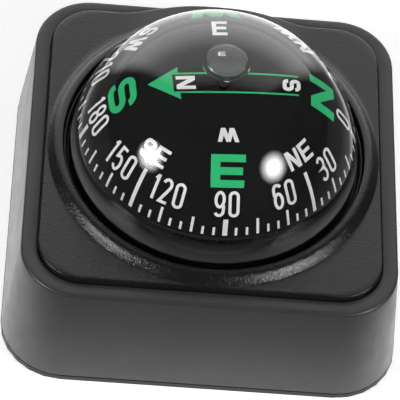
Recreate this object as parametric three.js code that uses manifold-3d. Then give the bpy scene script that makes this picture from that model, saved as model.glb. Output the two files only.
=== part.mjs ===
// Dashboard ball compass: a liquid-filled clear ball with a floating card, clamped in a square
// moulded housing that is stuck down by a foam pad. Millimetres, +Z up, the reader sits at -Y.
// The origin is the middle of the pad's underside.

import * as THREE from 'three';
import { mergeVertices } from 'three/addons/utils/BufferGeometryUtils.js';
import Module from 'manifold-3d';

const wasm = await Module();
wasm.setup();

// Fineness of round shapes, in steps
const ROUND_STEPS = 48;
const SMALL_ROUND_STEPS = 20;
const CORNER_STEPS = 6;
const DOME_STEPS = 10;
const CARD_STEPS = 7;
const FLOAT_STEPS = 4;
const EDGE_STEPS = 3;
const SLOPE_STEPS = 5;
const SWELL_STEPS_ACROSS = 18;
const SWELL_STEPS_ALONG = 5;

// Clearances and overruns
const SEAT_GAP = 0.3;
const PRESS_GAP = 0.05;
const HAIRLINE_GAP = 0.15;
const OVERRUN = 1;
const ON_AXIS = 0.000001;

// Clear ball, its wall and the flange that clamps it
const BALL_RADIUS = 19.95;
const BALL_WALL = 1.5;
const DOME_SKIRT = 2.05;
const FLANGE_WIDTH = 2.55;
const FLANGE_THICKNESS = 1.5;
const GASKET_THICKNESS = 0.6;
const GASKET_WIDTH = 1.9;

// Lower half of the capsule and its filler plug
const CUP_FLOOR = 1.5;
const CUP_CORNER_RADIUS = 4;
const SOCKET_FLOOR = 0.5;
const PLUG_RADIUS = 2;
const PLUG_HEAD_RADIUS = 2.8;
const PLUG_HEAD_THICKNESS = 0.5;
const PLUG_MARGIN = 0.4;

// Retaining ring between the ball and the collar
const RING_WIDTH = 0.85;
const RING_FOOT_THICKNESS = 1.4;
const RING_DEPTH = 1.1;
const RING_CHAMFER = 0.35;

// Face plate with its collar and the swell behind the ball
const PLATE_RISE = 0.9;
const PLATE_THICKNESS = 2;
const PLATE_MARGIN = 0.25;
const PLATE_CORNER_RADIUS = 6;
const PLATE_CHAMFER = 0.25;
const COLLAR_HEIGHT = 1.15;
const COLLAR_LIP = 0.35;
const COLLAR_SLOPE_WIDTH = 1.75;
const SWELL_HEIGHT = 2.6;
const SWELL_HALF_WIDTH = 13;
const SWELL_SINK = 0.05;
const PEG_RADIUS = 1;
const PEG_LENGTH = 2.2;
const PEG_MARGIN = 3.1;

// Housing, heights above the base plate's underside
const RIM_HEIGHT = 17.5;
const RIM_WIDTH = 2.25;
const RIM_EDGE_RADIUS = 0.5;
const DRAFT = 2.1;
const TOP_CORNER_RADIUS = 7.8;
const BASE_CORNER_RADIUS = 8.8;
const WALL = 2;
const LEDGE_THICKNESS = 1.6;
const SEAM = 0.12;
const BOSS_RADIUS = 2.6;
const BOSS_MARGIN = 2.9;

// Screws, base plate, cushion and pad
const SCREW_SHANK_RADIUS = 1.1;
const SCREW_HEAD_RADIUS = 2.1;
const SCREW_HEAD_HEIGHT = 1.1;
const SCREW_LENGTH = 7.5;
const SCREW_POINT = 1.2;
const SCREW_CROSS_LENGTH = 2.6;
const SCREW_CROSS_WIDTH = 0.5;
const SCREW_CROSS_DEPTH = 0.5;
const BORE_SPARE = 1;
const HEAD_SEAT = 0.5;
const BASE_PLATE_EDGE = 0.7;
const CUSHION_INSET = 2.15;
const CUSHION_WIDTH = 1.6;
const CUSHION_THICKNESS = 1;
const CRADLE_WALL = 1.2;
const PAD_WIDTH = 34;
const PAD_CORNER_RADIUS = 3;
const PAD_THICKNESS = 0.6;

// Pivot: a brass post in the cup carries a pointed steel pin
const PIVOT_DROP = 4.85;
const PIN_RADIUS = 0.5;
const PIN_POINT_LENGTH = 1.4;
const PIN_STAND_OUT = 3.7;
const PIN_FLOOR = 1.2;
const POST_RADIUS = 1.5;
const POST_FOOT_RADIUS = 3;
const POINT_GAP = 0.1;

// Jewel and its holder
const JEWEL_RADIUS = 1.2;
const JEWEL_HEIGHT = 1.3;
const JEWEL_DENT_RADIUS = 0.7;
const JEWEL_DENT_DEPTH = 0.5;
const HOLDER_WALL = 0.7;
const HOLDER_SKIRT = 0.3;
const HOLDER_ROOF = 0.5;

// Floating card with its hub, float and magnets
const CARD_MARGIN = 2.05;
const CARD_RISE = 2;
const CARD_WALL = 0.8;
const CARD_RIM_LATITUDE = 14.6;
const CARD_FLAT_DROP = 2.8;
const SPIGOT_RADIUS = 0.5;
const HUB_WALL = 1;
const HUB_SKIRT = 1.5;
const HUB_FLANGE_RADIUS = 8;
const HUB_FLANGE_RISE = 1.5;
const HUB_FLANGE_THICKNESS = 1.1;
const FLOAT_INSET = 3.3;
const MAGNET_LENGTH = 14;
const MAGNET_WIDTH = 2.4;
const MAGNET_GAP = 0.5;

// How the card lies at rest, in degrees
const CARD_LEAN = 7.1;
const CARD_ROLL = 0.5;
const CARD_TURN = 4.7;

// Radii worked out from the ball outwards
const BALL_INNER_RADIUS = BALL_RADIUS - BALL_WALL;
const FLANGE_RADIUS = BALL_RADIUS + FLANGE_WIDTH;
const HOLE_RADIUS = BALL_RADIUS + RING_WIDTH;
const COLLAR_FOOT_RADIUS = HOLE_RADIUS + COLLAR_LIP + COLLAR_SLOPE_WIDTH;
const PLATE_WIDTH = 2 * (COLLAR_FOOT_RADIUS + PLATE_MARGIN);
const TOP_WIDTH = PLATE_WIDTH + 2 * RIM_WIDTH;
const BASE_WIDTH = TOP_WIDTH + 2 * DRAFT;
const OPENING_RADIUS = FLANGE_RADIUS + SEAT_GAP;
const BOSS_PLACE = (OPENING_RADIUS + BOSS_RADIUS + BOSS_MARGIN) * Math.SQRT1_2;
const PEG_PLACE = (OPENING_RADIUS + PEG_RADIUS + PEG_MARGIN) * Math.SQRT1_2;
const CUSHION_OUTER_RADIUS = BALL_RADIUS - CUP_CORNER_RADIUS - CUSHION_INSET;
const CUSHION_INNER_RADIUS = CUSHION_OUTER_RADIUS - CUSHION_WIDTH;
const PLUG_PLACE = CUSHION_INNER_RADIUS - PLUG_MARGIN - PLUG_HEAD_RADIUS;

// Heights worked out from the rim downwards and from the base upwards
const PLATE_TOP = RIM_HEIGHT + PLATE_RISE;
const PLATE_BOTTOM = PLATE_TOP - PLATE_THICKNESS;
const LEDGE_BOTTOM = PLATE_BOTTOM - LEDGE_THICKNESS;
const COLLAR_TOP = PLATE_TOP + COLLAR_HEIGHT;
const DOME_FLANGE_TOP = PLATE_BOTTOM - RING_FOOT_THICKNESS;
const DOME_FLANGE_BOTTOM = DOME_FLANGE_TOP - FLANGE_THICKNESS;
const GASKET_BOTTOM = DOME_FLANGE_BOTTOM - GASKET_THICKNESS;
const CUP_FLANGE_BOTTOM = GASKET_BOTTOM - FLANGE_THICKNESS;
const BALL_CENTRE = DOME_FLANGE_TOP + DOME_SKIRT;
const BASE_PLATE_TOP = SCREW_HEAD_HEIGHT + HEAD_SEAT;
const HOUSING_BOTTOM = BASE_PLATE_EDGE + SEAM;
const CUP_BOTTOM = BASE_PLATE_TOP + CUSHION_THICKNESS;
const CUP_FLOOR_TOP = CUP_BOTTOM + CUP_FLOOR;
const POST_BOTTOM = CUP_BOTTOM + SOCKET_FLOOR;
const PIVOT_HEIGHT = BALL_CENTRE - PIVOT_DROP;
const POST_TOP = PIVOT_HEIGHT - PIN_STAND_OUT;

// Sizes of the card's pieces, heights above the pivot point
const HOLDER_BORE_RADIUS = JEWEL_RADIUS + SEAT_GAP;
const HOLDER_RADIUS = HOLDER_BORE_RADIUS + HOLDER_WALL;
const HOLDER_CEILING = JEWEL_HEIGHT + SEAT_GAP;
const HOLDER_TOP = HOLDER_CEILING + HOLDER_ROOF;
const HUB_BORE_RADIUS = HOLDER_RADIUS + SEAT_GAP;
const HUB_RADIUS = HUB_BORE_RADIUS + HUB_WALL;
const HUB_FLANGE_TOP = HUB_FLANGE_RISE + HUB_FLANGE_THICKNESS;
const CARD_RADIUS = BALL_INNER_RADIUS - CARD_MARGIN;
const CARD_INNER_RADIUS = CARD_RADIUS - CARD_WALL;
const UNDER_CARD_RADIUS = CARD_INNER_RADIUS - SEAT_GAP;
const CARD_FLAT_HEIGHT = CARD_RADIUS - CARD_FLAT_DROP;
const CARD_CEILING = CARD_FLAT_HEIGHT - CARD_WALL;
const UNDER_CARD_HEIGHT = CARD_CEILING - SEAT_GAP;
const FLOAT_RADIUS = UNDER_CARD_RADIUS - FLOAT_INSET;
const MAGNET_PLACE = HUB_RADIUS + MAGNET_GAP + MAGNET_WIDTH / 2;

const plain = (color, roughness, metalness = 0) =>
  new THREE.MeshStandardMaterial({ color, roughness, metalness });
const materials = {
  housing: plain(0x3c3c3b, 0.45),
  face: plain(0x343433, 0.6),
  gloss: plain(0x0c0c0d, 0.15),
  clear: new THREE.MeshStandardMaterial({ color: 0xf2f5f5, roughness: 0.03, transparent: true, opacity: 0.25 }),
  cup: plain(0x111112, 0.4),
  rubber: plain(0x1a1a1a, 0.8),
  foam: plain(0x202022, 0.95),
  steel: plain(0xb9bcc0, 0.3, 1),
  brass: plain(0xc39a4e, 0.35, 1),
  jewel: plain(0xc9d4dd, 0.1),
  card: plain(0x131314, 0.5),
  floatFoam: plain(0xe6e2d6, 0.9),
  magnet: plain(0x6f7276, 0.45, 0.9),
};

// A closed geometry as a solid for joining and cutting
function solidOf(geometry) {
  const bare = geometry.clone();
  bare.deleteAttribute('normal');
  bare.deleteAttribute('uv');
  const merged = mergeVertices(bare);
  const corners = merged.index.array;
  const kept = [];
  for (let i = 0; i < corners.length; i += 3) {
    const [a, b, c] = corners.slice(i, i + 3);
    if (a !== b && b !== c && c !== a) kept.push(a, b, c);
  }
  return new wasm.Manifold(new wasm.Mesh({
    numProp: 3,
    vertProperties: new Float32Array(merged.attributes.position.array),
    triVerts: new Uint32Array(kept),
  }));
}

// A solid back as a geometry
function geometryOf(solid) {
  const mesh = solid.getMesh();
  const geometry = new THREE.BufferGeometry();
  const places = new Float32Array(mesh.vertProperties);
  geometry.setAttribute('position', new THREE.BufferAttribute(places, 3));
  geometry.setIndex(new THREE.BufferAttribute(new Uint32Array(mesh.triVerts), 1));
  geometry.computeVertexNormals();
  return geometry;
}

const join = (first, ...others) => others.reduce((sum, next) => sum.add(next), first);
const cut = (first, ...tools) => tools.reduce((rest, tool) => rest.subtract(tool), first);

// An outline of [radius, height] points, counter-clockwise, turned about the Z axis
function turned(outline, steps = ROUND_STEPS) {
  const points = outline.map(([radius, height]) => new THREE.Vector2(radius, height));
  const onAxis = (point) => Math.abs(point.x) < ON_AXIS;
  if (!onAxis(points[0]) || !onAxis(points[points.length - 1])) points.push(points[0].clone());
  return solidOf(new THREE.LatheGeometry(points, steps).rotateX(Math.PI / 2));
}

// An upright cylinder between two heights
function rod(radius, low, high, steps = SMALL_ROUND_STEPS) {
  return turned([[0, low], [radius, low], [radius, high], [0, high]], steps);
}

// Outline points along an arc, angles in degrees from the level
function arc(centreRadius, centreHeight, radius, from, to, steps) {
  return Array.from({ length: steps + 1 }, (_, i) => {
    const angle = THREE.MathUtils.degToRad(THREE.MathUtils.lerp(from, to, i / steps));
    return [centreRadius + radius * Math.cos(angle), centreHeight + radius * Math.sin(angle)];
  });
}

// One level of a square outline with round corners
function squareLevel(width, cornerRadius, height) {
  const inset = width / 2 - cornerRadius;
  const level = [];
  [[1, 1], [-1, 1], [-1, -1], [1, -1]].forEach(([sideX, sideY], corner) => {
    for (let i = 0; i <= CORNER_STEPS; i += 1) {
      const angle = (corner + i / CORNER_STEPS) * (Math.PI / 2);
      const x = sideX * inset + cornerRadius * Math.cos(angle);
      const y = sideY * inset + cornerRadius * Math.sin(angle);
      level.push(new THREE.Vector3(x, y, height));
    }
  });
  return level;
}

// A skin stretched over levels with equal numbers of points and closed at both ends
function lofted(levels, flatten) {
  const count = levels[0].length;
  const last = (levels.length - 1) * count;
  const triangles = [];
  for (let first = 0; first < last; first += count) {
    for (let i = 0; i < count; i += 1) {
      const a = first + i;
      const b = first + ((i + 1) % count);
      triangles.push(a, b, b + count, a, b + count, a + count);
    }
  }
  THREE.ShapeUtils.triangulateShape(levels[0].map(flatten), []).forEach(([a, b, c]) => {
    triangles.push(a, c, b);
    triangles.push(last + a, last + b, last + c);
  });
  const geometry = new THREE.BufferGeometry().setFromPoints(levels.flat());
  geometry.setIndex(triangles);
  return solidOf(geometry);
}

const seenFromAbove = (point) => new THREE.Vector2(point.x, point.y);
const seenFromRear = (point) => new THREE.Vector2(-point.x, point.z);

// A block with levels of [width, corner radius, height]
function squareBlock(...levels) {
  return lofted(levels.map((level) => squareLevel(...level)), seenFromAbove);
}

// The housing's outside at a height, moved inwards by an inset
function housingAt(height, inset = 0) {
  const share = height / RIM_HEIGHT;
  const width = THREE.MathUtils.lerp(BASE_WIDTH, TOP_WIDTH, share) - 2 * inset;
  const corner = THREE.MathUtils.lerp(BASE_CORNER_RADIUS, TOP_CORNER_RADIUS, share) - inset;
  return [width, corner, height];
}

// Four copies of a solid, one towards each corner of the housing
function inCorners(solid, place) {
  return [[1, 1], [-1, 1], [-1, -1], [1, -1]].map(([x, y]) => solid.translate([x * place, y * place, 0]));
}

// The housing's outside with its rounded upper edge
function housingOutside() {
  const edgeLow = RIM_HEIGHT - RIM_EDGE_RADIUS;
  const levels = [housingAt(HOUSING_BOTTOM), housingAt(edgeLow)];
  const [width, corner] = housingAt(edgeLow);
  for (let i = 1; i <= EDGE_STEPS; i += 1) {
    const angle = (i / EDGE_STEPS) * (Math.PI / 2);
    const inset = RIM_EDGE_RADIUS * (1 - Math.cos(angle));
    levels.push([width - 2 * inset, corner - inset, edgeLow + RIM_EDGE_RADIUS * Math.sin(angle)]);
  }
  return squareBlock(...levels);
}

function housingShell() {
  const hollow = squareBlock(housingAt(HOUSING_BOTTOM - OVERRUN, WALL), housingAt(LEDGE_BOTTOM, WALL));
  const recessWidth = PLATE_WIDTH + 2 * HAIRLINE_GAP;
  const recessCorner = PLATE_CORNER_RADIUS + HAIRLINE_GAP;
  const recess = squareBlock(
    [recessWidth, recessCorner, PLATE_BOTTOM],
    [recessWidth, recessCorner, RIM_HEIGHT + OVERRUN],
  );
  const opening = rod(OPENING_RADIUS, LEDGE_BOTTOM - OVERRUN, RIM_HEIGHT, ROUND_STEPS);
  const shell = cut(housingOutside(), hollow, recess, opening);
  const boss = rod(BOSS_RADIUS, BASE_PLATE_TOP, LEDGE_BOTTOM + PRESS_GAP);
  const bore = rod(SCREW_SHANK_RADIUS + PRESS_GAP, BASE_PLATE_TOP - OVERRUN, SCREW_LENGTH + BORE_SPARE);
  const pegHole = rod(PEG_RADIUS + HAIRLINE_GAP, PLATE_BOTTOM - PEG_LENGTH - SEAT_GAP, RIM_HEIGHT);
  const bossed = join(shell, ...inCorners(boss, BOSS_PLACE));
  return geometryOf(cut(bossed, ...inCorners(bore, BOSS_PLACE), ...inCorners(pegHole, PEG_PLACE)));
}

// The swell leaves the collar's edge at the collar's height and rises to the plate's rear edge
function rearSwell() {
  const rearEdge = PLATE_WIDTH / 2;
  const foot = PLATE_BOTTOM + PLATE_THICKNESS / 2;
  const sectionAt = (place, height) => {
    const section = [
      new THREE.Vector3(SWELL_HALF_WIDTH, place, foot),
      new THREE.Vector3(-SWELL_HALF_WIDTH, place, foot),
    ];
    for (let i = 0; i <= SWELL_STEPS_ACROSS; i += 1) {
      const across = (2 * i) / SWELL_STEPS_ACROSS - 1;
      const top = PLATE_TOP - SWELL_SINK + (height * (1 + Math.cos(Math.PI * across))) / 2;
      section.push(new THREE.Vector3(SWELL_HALF_WIDTH * across, place, top));
    }
    return section;
  };
  const sections = [sectionAt(HOLE_RADIUS - OVERRUN, COLLAR_HEIGHT)];
  for (let i = 0; i <= SWELL_STEPS_ALONG; i += 1) {
    const share = i / SWELL_STEPS_ALONG;
    const rise = THREE.MathUtils.lerp(COLLAR_HEIGHT, SWELL_HEIGHT, THREE.MathUtils.smoothstep(share, 0, 1));
    sections.push(sectionAt(THREE.MathUtils.lerp(HOLE_RADIUS, rearEdge, share), rise));
  }
  return lofted(sections, seenFromRear);
}

// The collar is a ring whose outer slope is a quarter of an ellipse
function collar() {
  const slope = Array.from({ length: SLOPE_STEPS + 1 }, (_, i) => {
    const angle = (i / SLOPE_STEPS) * (Math.PI / 2);
    const across = HOLE_RADIUS + COLLAR_LIP + COLLAR_SLOPE_WIDTH * Math.cos(angle);
    return [across, PLATE_TOP + COLLAR_HEIGHT * Math.sin(angle)];
  });
  const foot = PLATE_BOTTOM + PLATE_THICKNESS / 2;
  const inside = HOLE_RADIUS - OVERRUN;
  return turned([[inside, foot], [COLLAR_FOOT_RADIUS, foot], ...slope, [inside, COLLAR_TOP]]);
}

function facePlate() {
  const plate = squareBlock(
    [PLATE_WIDTH, PLATE_CORNER_RADIUS, PLATE_BOTTOM],
    [PLATE_WIDTH, PLATE_CORNER_RADIUS, PLATE_TOP - PLATE_CHAMFER],
    [PLATE_WIDTH - 2 * PLATE_CHAMFER, PLATE_CORNER_RADIUS - PLATE_CHAMFER, PLATE_TOP],
  );
  const hole = rod(HOLE_RADIUS, PLATE_BOTTOM - OVERRUN, PLATE_TOP + SWELL_HEIGHT + OVERRUN, ROUND_STEPS);
  const peg = rod(PEG_RADIUS, PLATE_BOTTOM - PEG_LENGTH, PLATE_BOTTOM + PLATE_THICKNESS / 2);
  const holed = cut(join(plate, rearSwell(), collar()), hole);
  return geometryOf(join(holed, ...inCorners(peg, PEG_PLACE)));
}

function bezelRing() {
  const innerRadius = BALL_RADIUS + HAIRLINE_GAP;
  const neckRadius = HOLE_RADIUS - HAIRLINE_GAP;
  const top = COLLAR_TOP - RING_DEPTH;
  return geometryOf(turned([
    [innerRadius, DOME_FLANGE_TOP],
    [FLANGE_RADIUS, DOME_FLANGE_TOP],
    [FLANGE_RADIUS, PLATE_BOTTOM],
    [neckRadius, PLATE_BOTTOM],
    [neckRadius, top],
    [innerRadius + RING_CHAMFER, top],
    [innerRadius, top - RING_CHAMFER],
  ]));
}

// Half a ball on a short straight skirt with a flange at its foot
function capsuleDome() {
  return geometryOf(turned([
    ...arc(0, BALL_CENTRE, BALL_INNER_RADIUS, 90, 0, DOME_STEPS),
    [BALL_INNER_RADIUS, DOME_FLANGE_BOTTOM],
    [FLANGE_RADIUS, DOME_FLANGE_BOTTOM],
    [FLANGE_RADIUS, DOME_FLANGE_TOP],
    [BALL_RADIUS, DOME_FLANGE_TOP],
    ...arc(0, BALL_CENTRE, BALL_RADIUS, 0, 90, DOME_STEPS),
  ]));
}

function capsuleGasket() {
  return geometryOf(turned([
    [FLANGE_RADIUS - GASKET_WIDTH, GASKET_BOTTOM],
    [FLANGE_RADIUS, GASKET_BOTTOM],
    [FLANGE_RADIUS, DOME_FLANGE_BOTTOM],
    [FLANGE_RADIUS - GASKET_WIDTH, DOME_FLANGE_BOTTOM],
  ]));
}

function capsuleCup() {
  const cornerRadius = BALL_RADIUS - CUP_CORNER_RADIUS;
  const cornerHeight = CUP_BOTTOM + CUP_CORNER_RADIUS;
  const socketRadius = POST_FOOT_RADIUS + PRESS_GAP;
  const cup = turned([
    [0, CUP_BOTTOM],
    ...arc(cornerRadius, cornerHeight, CUP_CORNER_RADIUS, -90, 0, CORNER_STEPS),
    [BALL_RADIUS, CUP_FLANGE_BOTTOM],
    [FLANGE_RADIUS, CUP_FLANGE_BOTTOM],
    [FLANGE_RADIUS, GASKET_BOTTOM],
    [BALL_INNER_RADIUS, GASKET_BOTTOM],
    ...arc(cornerRadius, cornerHeight, CUP_CORNER_RADIUS - CUP_FLOOR, 0, -90, CORNER_STEPS),
    [socketRadius, CUP_FLOOR_TOP],
    [socketRadius, POST_BOTTOM],
    [0, POST_BOTTOM],
  ]);
  const fillerHole = rod(PLUG_RADIUS + PRESS_GAP, CUP_BOTTOM - OVERRUN, CUP_FLOOR_TOP + OVERRUN);
  return geometryOf(cut(cup, fillerHole.translate([0, PLUG_PLACE, 0])));
}

function fillerPlug() {
  const plug = turned([
    [0, CUP_BOTTOM - PLUG_HEAD_THICKNESS],
    [PLUG_HEAD_RADIUS, CUP_BOTTOM - PLUG_HEAD_THICKNESS],
    [PLUG_HEAD_RADIUS, CUP_BOTTOM],
    [PLUG_RADIUS, CUP_BOTTOM],
    [PLUG_RADIUS, CUP_FLOOR_TOP],
    [0, CUP_FLOOR_TOP],
  ], SMALL_ROUND_STEPS);
  return geometryOf(plug.translate([0, PLUG_PLACE, 0]));
}

function pivotPost() {
  const boreRadius = PIN_RADIUS + PRESS_GAP;
  return geometryOf(turned([
    [0, POST_BOTTOM],
    [POST_FOOT_RADIUS, POST_BOTTOM],
    [POST_FOOT_RADIUS, CUP_FLOOR_TOP],
    [POST_RADIUS, CUP_FLOOR_TOP],
    [POST_RADIUS, POST_TOP],
    [boreRadius, POST_TOP],
    [boreRadius, POST_BOTTOM + PIN_FLOOR],
    [0, POST_BOTTOM + PIN_FLOOR],
  ], SMALL_ROUND_STEPS));
}

function pivotPin() {
  return geometryOf(turned([
    [0, POST_BOTTOM + PIN_FLOOR],
    [PIN_RADIUS, POST_BOTTOM + PIN_FLOOR],
    [PIN_RADIUS, PIVOT_HEIGHT - PIN_POINT_LENGTH],
    [0, PIVOT_HEIGHT],
  ], SMALL_ROUND_STEPS));
}

function cupCushion() {
  return geometryOf(turned([
    [CUSHION_INNER_RADIUS, BASE_PLATE_TOP],
    [CUSHION_OUTER_RADIUS, BASE_PLATE_TOP],
    [CUSHION_OUTER_RADIUS, CUP_BOTTOM],
    [CUSHION_INNER_RADIUS, CUP_BOTTOM],
  ]));
}

// The plate's edge continues the housing's walls, its middle fits inside them
function basePlate() {
  const edge = squareBlock(housingAt(0), housingAt(BASE_PLATE_EDGE));
  const [innerWidth, innerCorner] = housingAt(HOUSING_BOTTOM, WALL + SEAT_GAP);
  const raised = squareBlock(
    [innerWidth, innerCorner, BASE_PLATE_EDGE / 2],
    [innerWidth, innerCorner, BASE_PLATE_TOP],
  );
  const cradleRadius = CUSHION_OUTER_RADIUS + SEAT_GAP;
  const cradle = turned([
    [cradleRadius, BASE_PLATE_EDGE],
    [cradleRadius + CRADLE_WALL, BASE_PLATE_EDGE],
    [cradleRadius + CRADLE_WALL, CUP_BOTTOM - SEAT_GAP],
    [cradleRadius, CUP_BOTTOM - SEAT_GAP],
  ]);
  const headHole = rod(SCREW_HEAD_RADIUS + HAIRLINE_GAP, -OVERRUN, SCREW_HEAD_HEIGHT);
  const shankHole = rod(SCREW_SHANK_RADIUS + HAIRLINE_GAP, -OVERRUN, BASE_PLATE_TOP + OVERRUN);
  const holes = [...inCorners(headHole, BOSS_PLACE), ...inCorners(shankHole, BOSS_PLACE)];
  return geometryOf(cut(join(edge, raised, cradle), ...holes));
}

// Cross-head screws, heads flush with the plate's underside
function baseScrews() {
  const screw = turned([
    [0, 0],
    [SCREW_HEAD_RADIUS, 0],
    [SCREW_HEAD_RADIUS, SCREW_HEAD_HEIGHT],
    [SCREW_SHANK_RADIUS, SCREW_HEAD_HEIGHT],
    [SCREW_SHANK_RADIUS, SCREW_LENGTH - SCREW_POINT],
    [0, SCREW_LENGTH],
  ], SMALL_ROUND_STEPS);
  const across = solidOf(new THREE.BoxGeometry(SCREW_CROSS_LENGTH, SCREW_CROSS_WIDTH, 2 * SCREW_CROSS_DEPTH));
  const along = solidOf(new THREE.BoxGeometry(SCREW_CROSS_WIDTH, SCREW_CROSS_LENGTH, 2 * SCREW_CROSS_DEPTH));
  return inCorners(cut(screw, across, along), BOSS_PLACE).map(geometryOf);
}

function adhesivePad() {
  return geometryOf(squareBlock(
    [PAD_WIDTH, PAD_CORNER_RADIUS, -PAD_THICKNESS],
    [PAD_WIDTH, PAD_CORNER_RADIUS, 0],
  ));
}

// From here on the pieces are drawn with the pivot point at zero

// The dent's floor stands a hair above the pin's point
function jewelCup() {
  const bottom = POINT_GAP - JEWEL_DENT_DEPTH;
  return geometryOf(turned([
    [0, POINT_GAP],
    [JEWEL_DENT_RADIUS, bottom],
    [JEWEL_RADIUS, bottom],
    [JEWEL_RADIUS, JEWEL_HEIGHT],
    [0, JEWEL_HEIGHT],
  ], SMALL_ROUND_STEPS));
}

function jewelHolder() {
  return geometryOf(turned([
    [0, HOLDER_CEILING],
    [HOLDER_BORE_RADIUS, HOLDER_CEILING],
    [HOLDER_BORE_RADIUS, -HOLDER_SKIRT],
    [HOLDER_RADIUS, -HOLDER_SKIRT],
    [HOLDER_RADIUS, HOLDER_TOP],
    [0, HOLDER_TOP],
  ], SMALL_ROUND_STEPS));
}

// The hub's sleeve goes over the holder, its spigot through the card's eye
function cardHub() {
  const ceiling = HOLDER_TOP + SEAT_GAP;
  const shoulder = CARD_RISE + UNDER_CARD_HEIGHT;
  const spigotTop = CARD_RISE + CARD_FLAT_HEIGHT;
  return geometryOf(turned([
    [0, ceiling],
    [HUB_BORE_RADIUS, ceiling],
    [HUB_BORE_RADIUS, -HUB_SKIRT],
    [HUB_RADIUS, -HUB_SKIRT],
    [HUB_RADIUS, HUB_FLANGE_RISE],
    [HUB_FLANGE_RADIUS, HUB_FLANGE_RISE],
    [HUB_FLANGE_RADIUS, HUB_FLANGE_TOP],
    [HUB_RADIUS, HUB_FLANGE_TOP],
    [HUB_RADIUS, shoulder],
    [SPIGOT_RADIUS, shoulder],
    [SPIGOT_RADIUS, spigotTop],
    [0, spigotTop],
  ], SMALL_ROUND_STEPS));
}

// Latitude in degrees where a sphere has a given height over its centre
function latitudeAt(height, sphereRadius) {
  return THREE.MathUtils.radToDeg(Math.asin(height / sphereRadius));
}

// The float fills the space between the hub's flange and the card
function cardFloat() {
  const bottom = HUB_FLANGE_TOP + SEAT_GAP;
  const bore = HUB_RADIUS + SEAT_GAP;
  const from = THREE.MathUtils.radToDeg(Math.acos(FLOAT_RADIUS / UNDER_CARD_RADIUS));
  const to = latitudeAt(UNDER_CARD_HEIGHT, UNDER_CARD_RADIUS);
  return geometryOf(turned([
    [bore, bottom],
    [FLOAT_RADIUS, bottom],
    ...arc(0, CARD_RISE, UNDER_CARD_RADIUS, from, to, FLOAT_STEPS),
    [bore, CARD_RISE + UNDER_CARD_HEIGHT],
  ]));
}

// A zone of a sphere, closed by a flat top with an eye for the hub's spigot
function cardDome() {
  const eyeRadius = SPIGOT_RADIUS + SEAT_GAP;
  const outerTo = latitudeAt(CARD_FLAT_HEIGHT, CARD_RADIUS);
  const innerTo = latitudeAt(CARD_CEILING, CARD_INNER_RADIUS);
  return geometryOf(turned([
    ...arc(0, CARD_RISE, CARD_RADIUS, CARD_RIM_LATITUDE, outerTo, CARD_STEPS),
    [eyeRadius, CARD_RISE + CARD_FLAT_HEIGHT],
    [eyeRadius, CARD_RISE + CARD_CEILING],
    ...arc(0, CARD_RISE, CARD_INNER_RADIUS, innerTo, CARD_RIM_LATITUDE, CARD_STEPS),
  ]));
}

function barMagnet(side) {
  const centreHeight = HUB_FLANGE_RISE - SEAT_GAP - MAGNET_WIDTH / 2;
  const bar = new THREE.BoxGeometry(MAGNET_WIDTH, MAGNET_LENGTH, MAGNET_WIDTH);
  return bar.translate(side * MAGNET_PLACE, 0, centreHeight);
}

function named(name, geometry, finish) {
  const mesh = new THREE.Mesh(geometry, finish);
  mesh.name = name;
  return mesh;
}

const compass = new THREE.Group();
compass.position.z = PAD_THICKNESS;
compass.add(
  named('housing_shell', housingShell(), materials.housing),
  named('face_plate', facePlate(), materials.face),
  named('bezel_ring', bezelRing(), materials.gloss),
  named('capsule_dome', capsuleDome(), materials.clear),
  named('capsule_gasket', capsuleGasket(), materials.rubber),
  named('capsule_cup', capsuleCup(), materials.cup),
  named('filler_plug', fillerPlug(), materials.rubber),
  named('pivot_post', pivotPost(), materials.brass),
  named('pivot_pin', pivotPin(), materials.steel),
  named('cup_cushion', cupCushion(), materials.foam),
  named('base_plate', basePlate(), materials.housing),
  named('adhesive_pad', adhesivePad(), materials.foam),
);
baseScrews().forEach((geometry, index) => {
  compass.add(named(`base_screw_${index + 1}`, geometry, materials.steel));
});

// The leaning group stands on the pin's point, and the card turns in it
const leaning = new THREE.Group();
leaning.position.z = PIVOT_HEIGHT;
leaning.rotation.x = THREE.MathUtils.degToRad(-CARD_LEAN);
leaning.rotation.y = THREE.MathUtils.degToRad(CARD_ROLL);
leaning.add(
  named('jewel_cup', jewelCup(), materials.jewel),
  named('jewel_holder', jewelHolder(), materials.brass),
);

const turning = new THREE.Group();
turning.rotation.z = THREE.MathUtils.degToRad(CARD_TURN);
turning.add(
  named('card_hub', cardHub(), materials.card),
  named('card_float', cardFloat(), materials.floatFoam),
  named('card_dome', cardDome(), materials.card),
  named('magnet_left', barMagnet(-1), materials.magnet),
  named('magnet_right', barMagnet(1), materials.magnet),
);
leaning.add(turning);
compass.add(leaning);

export default compass;
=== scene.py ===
"""Looks of a dashboard ball compass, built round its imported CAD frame.

Sizes in the classes are millimetres. Heights are over the base plate's underside, or over the
pivot point for the pieces that lean with the card.
"""

import logging
import math
from collections.abc import Callable, Iterator, Sequence
from contextlib import contextmanager
from dataclasses import dataclass
from enum import Enum
from functools import partial, reduce
from itertools import pairwise, product

import bpy
from mathutils import Matrix, Vector


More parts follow.
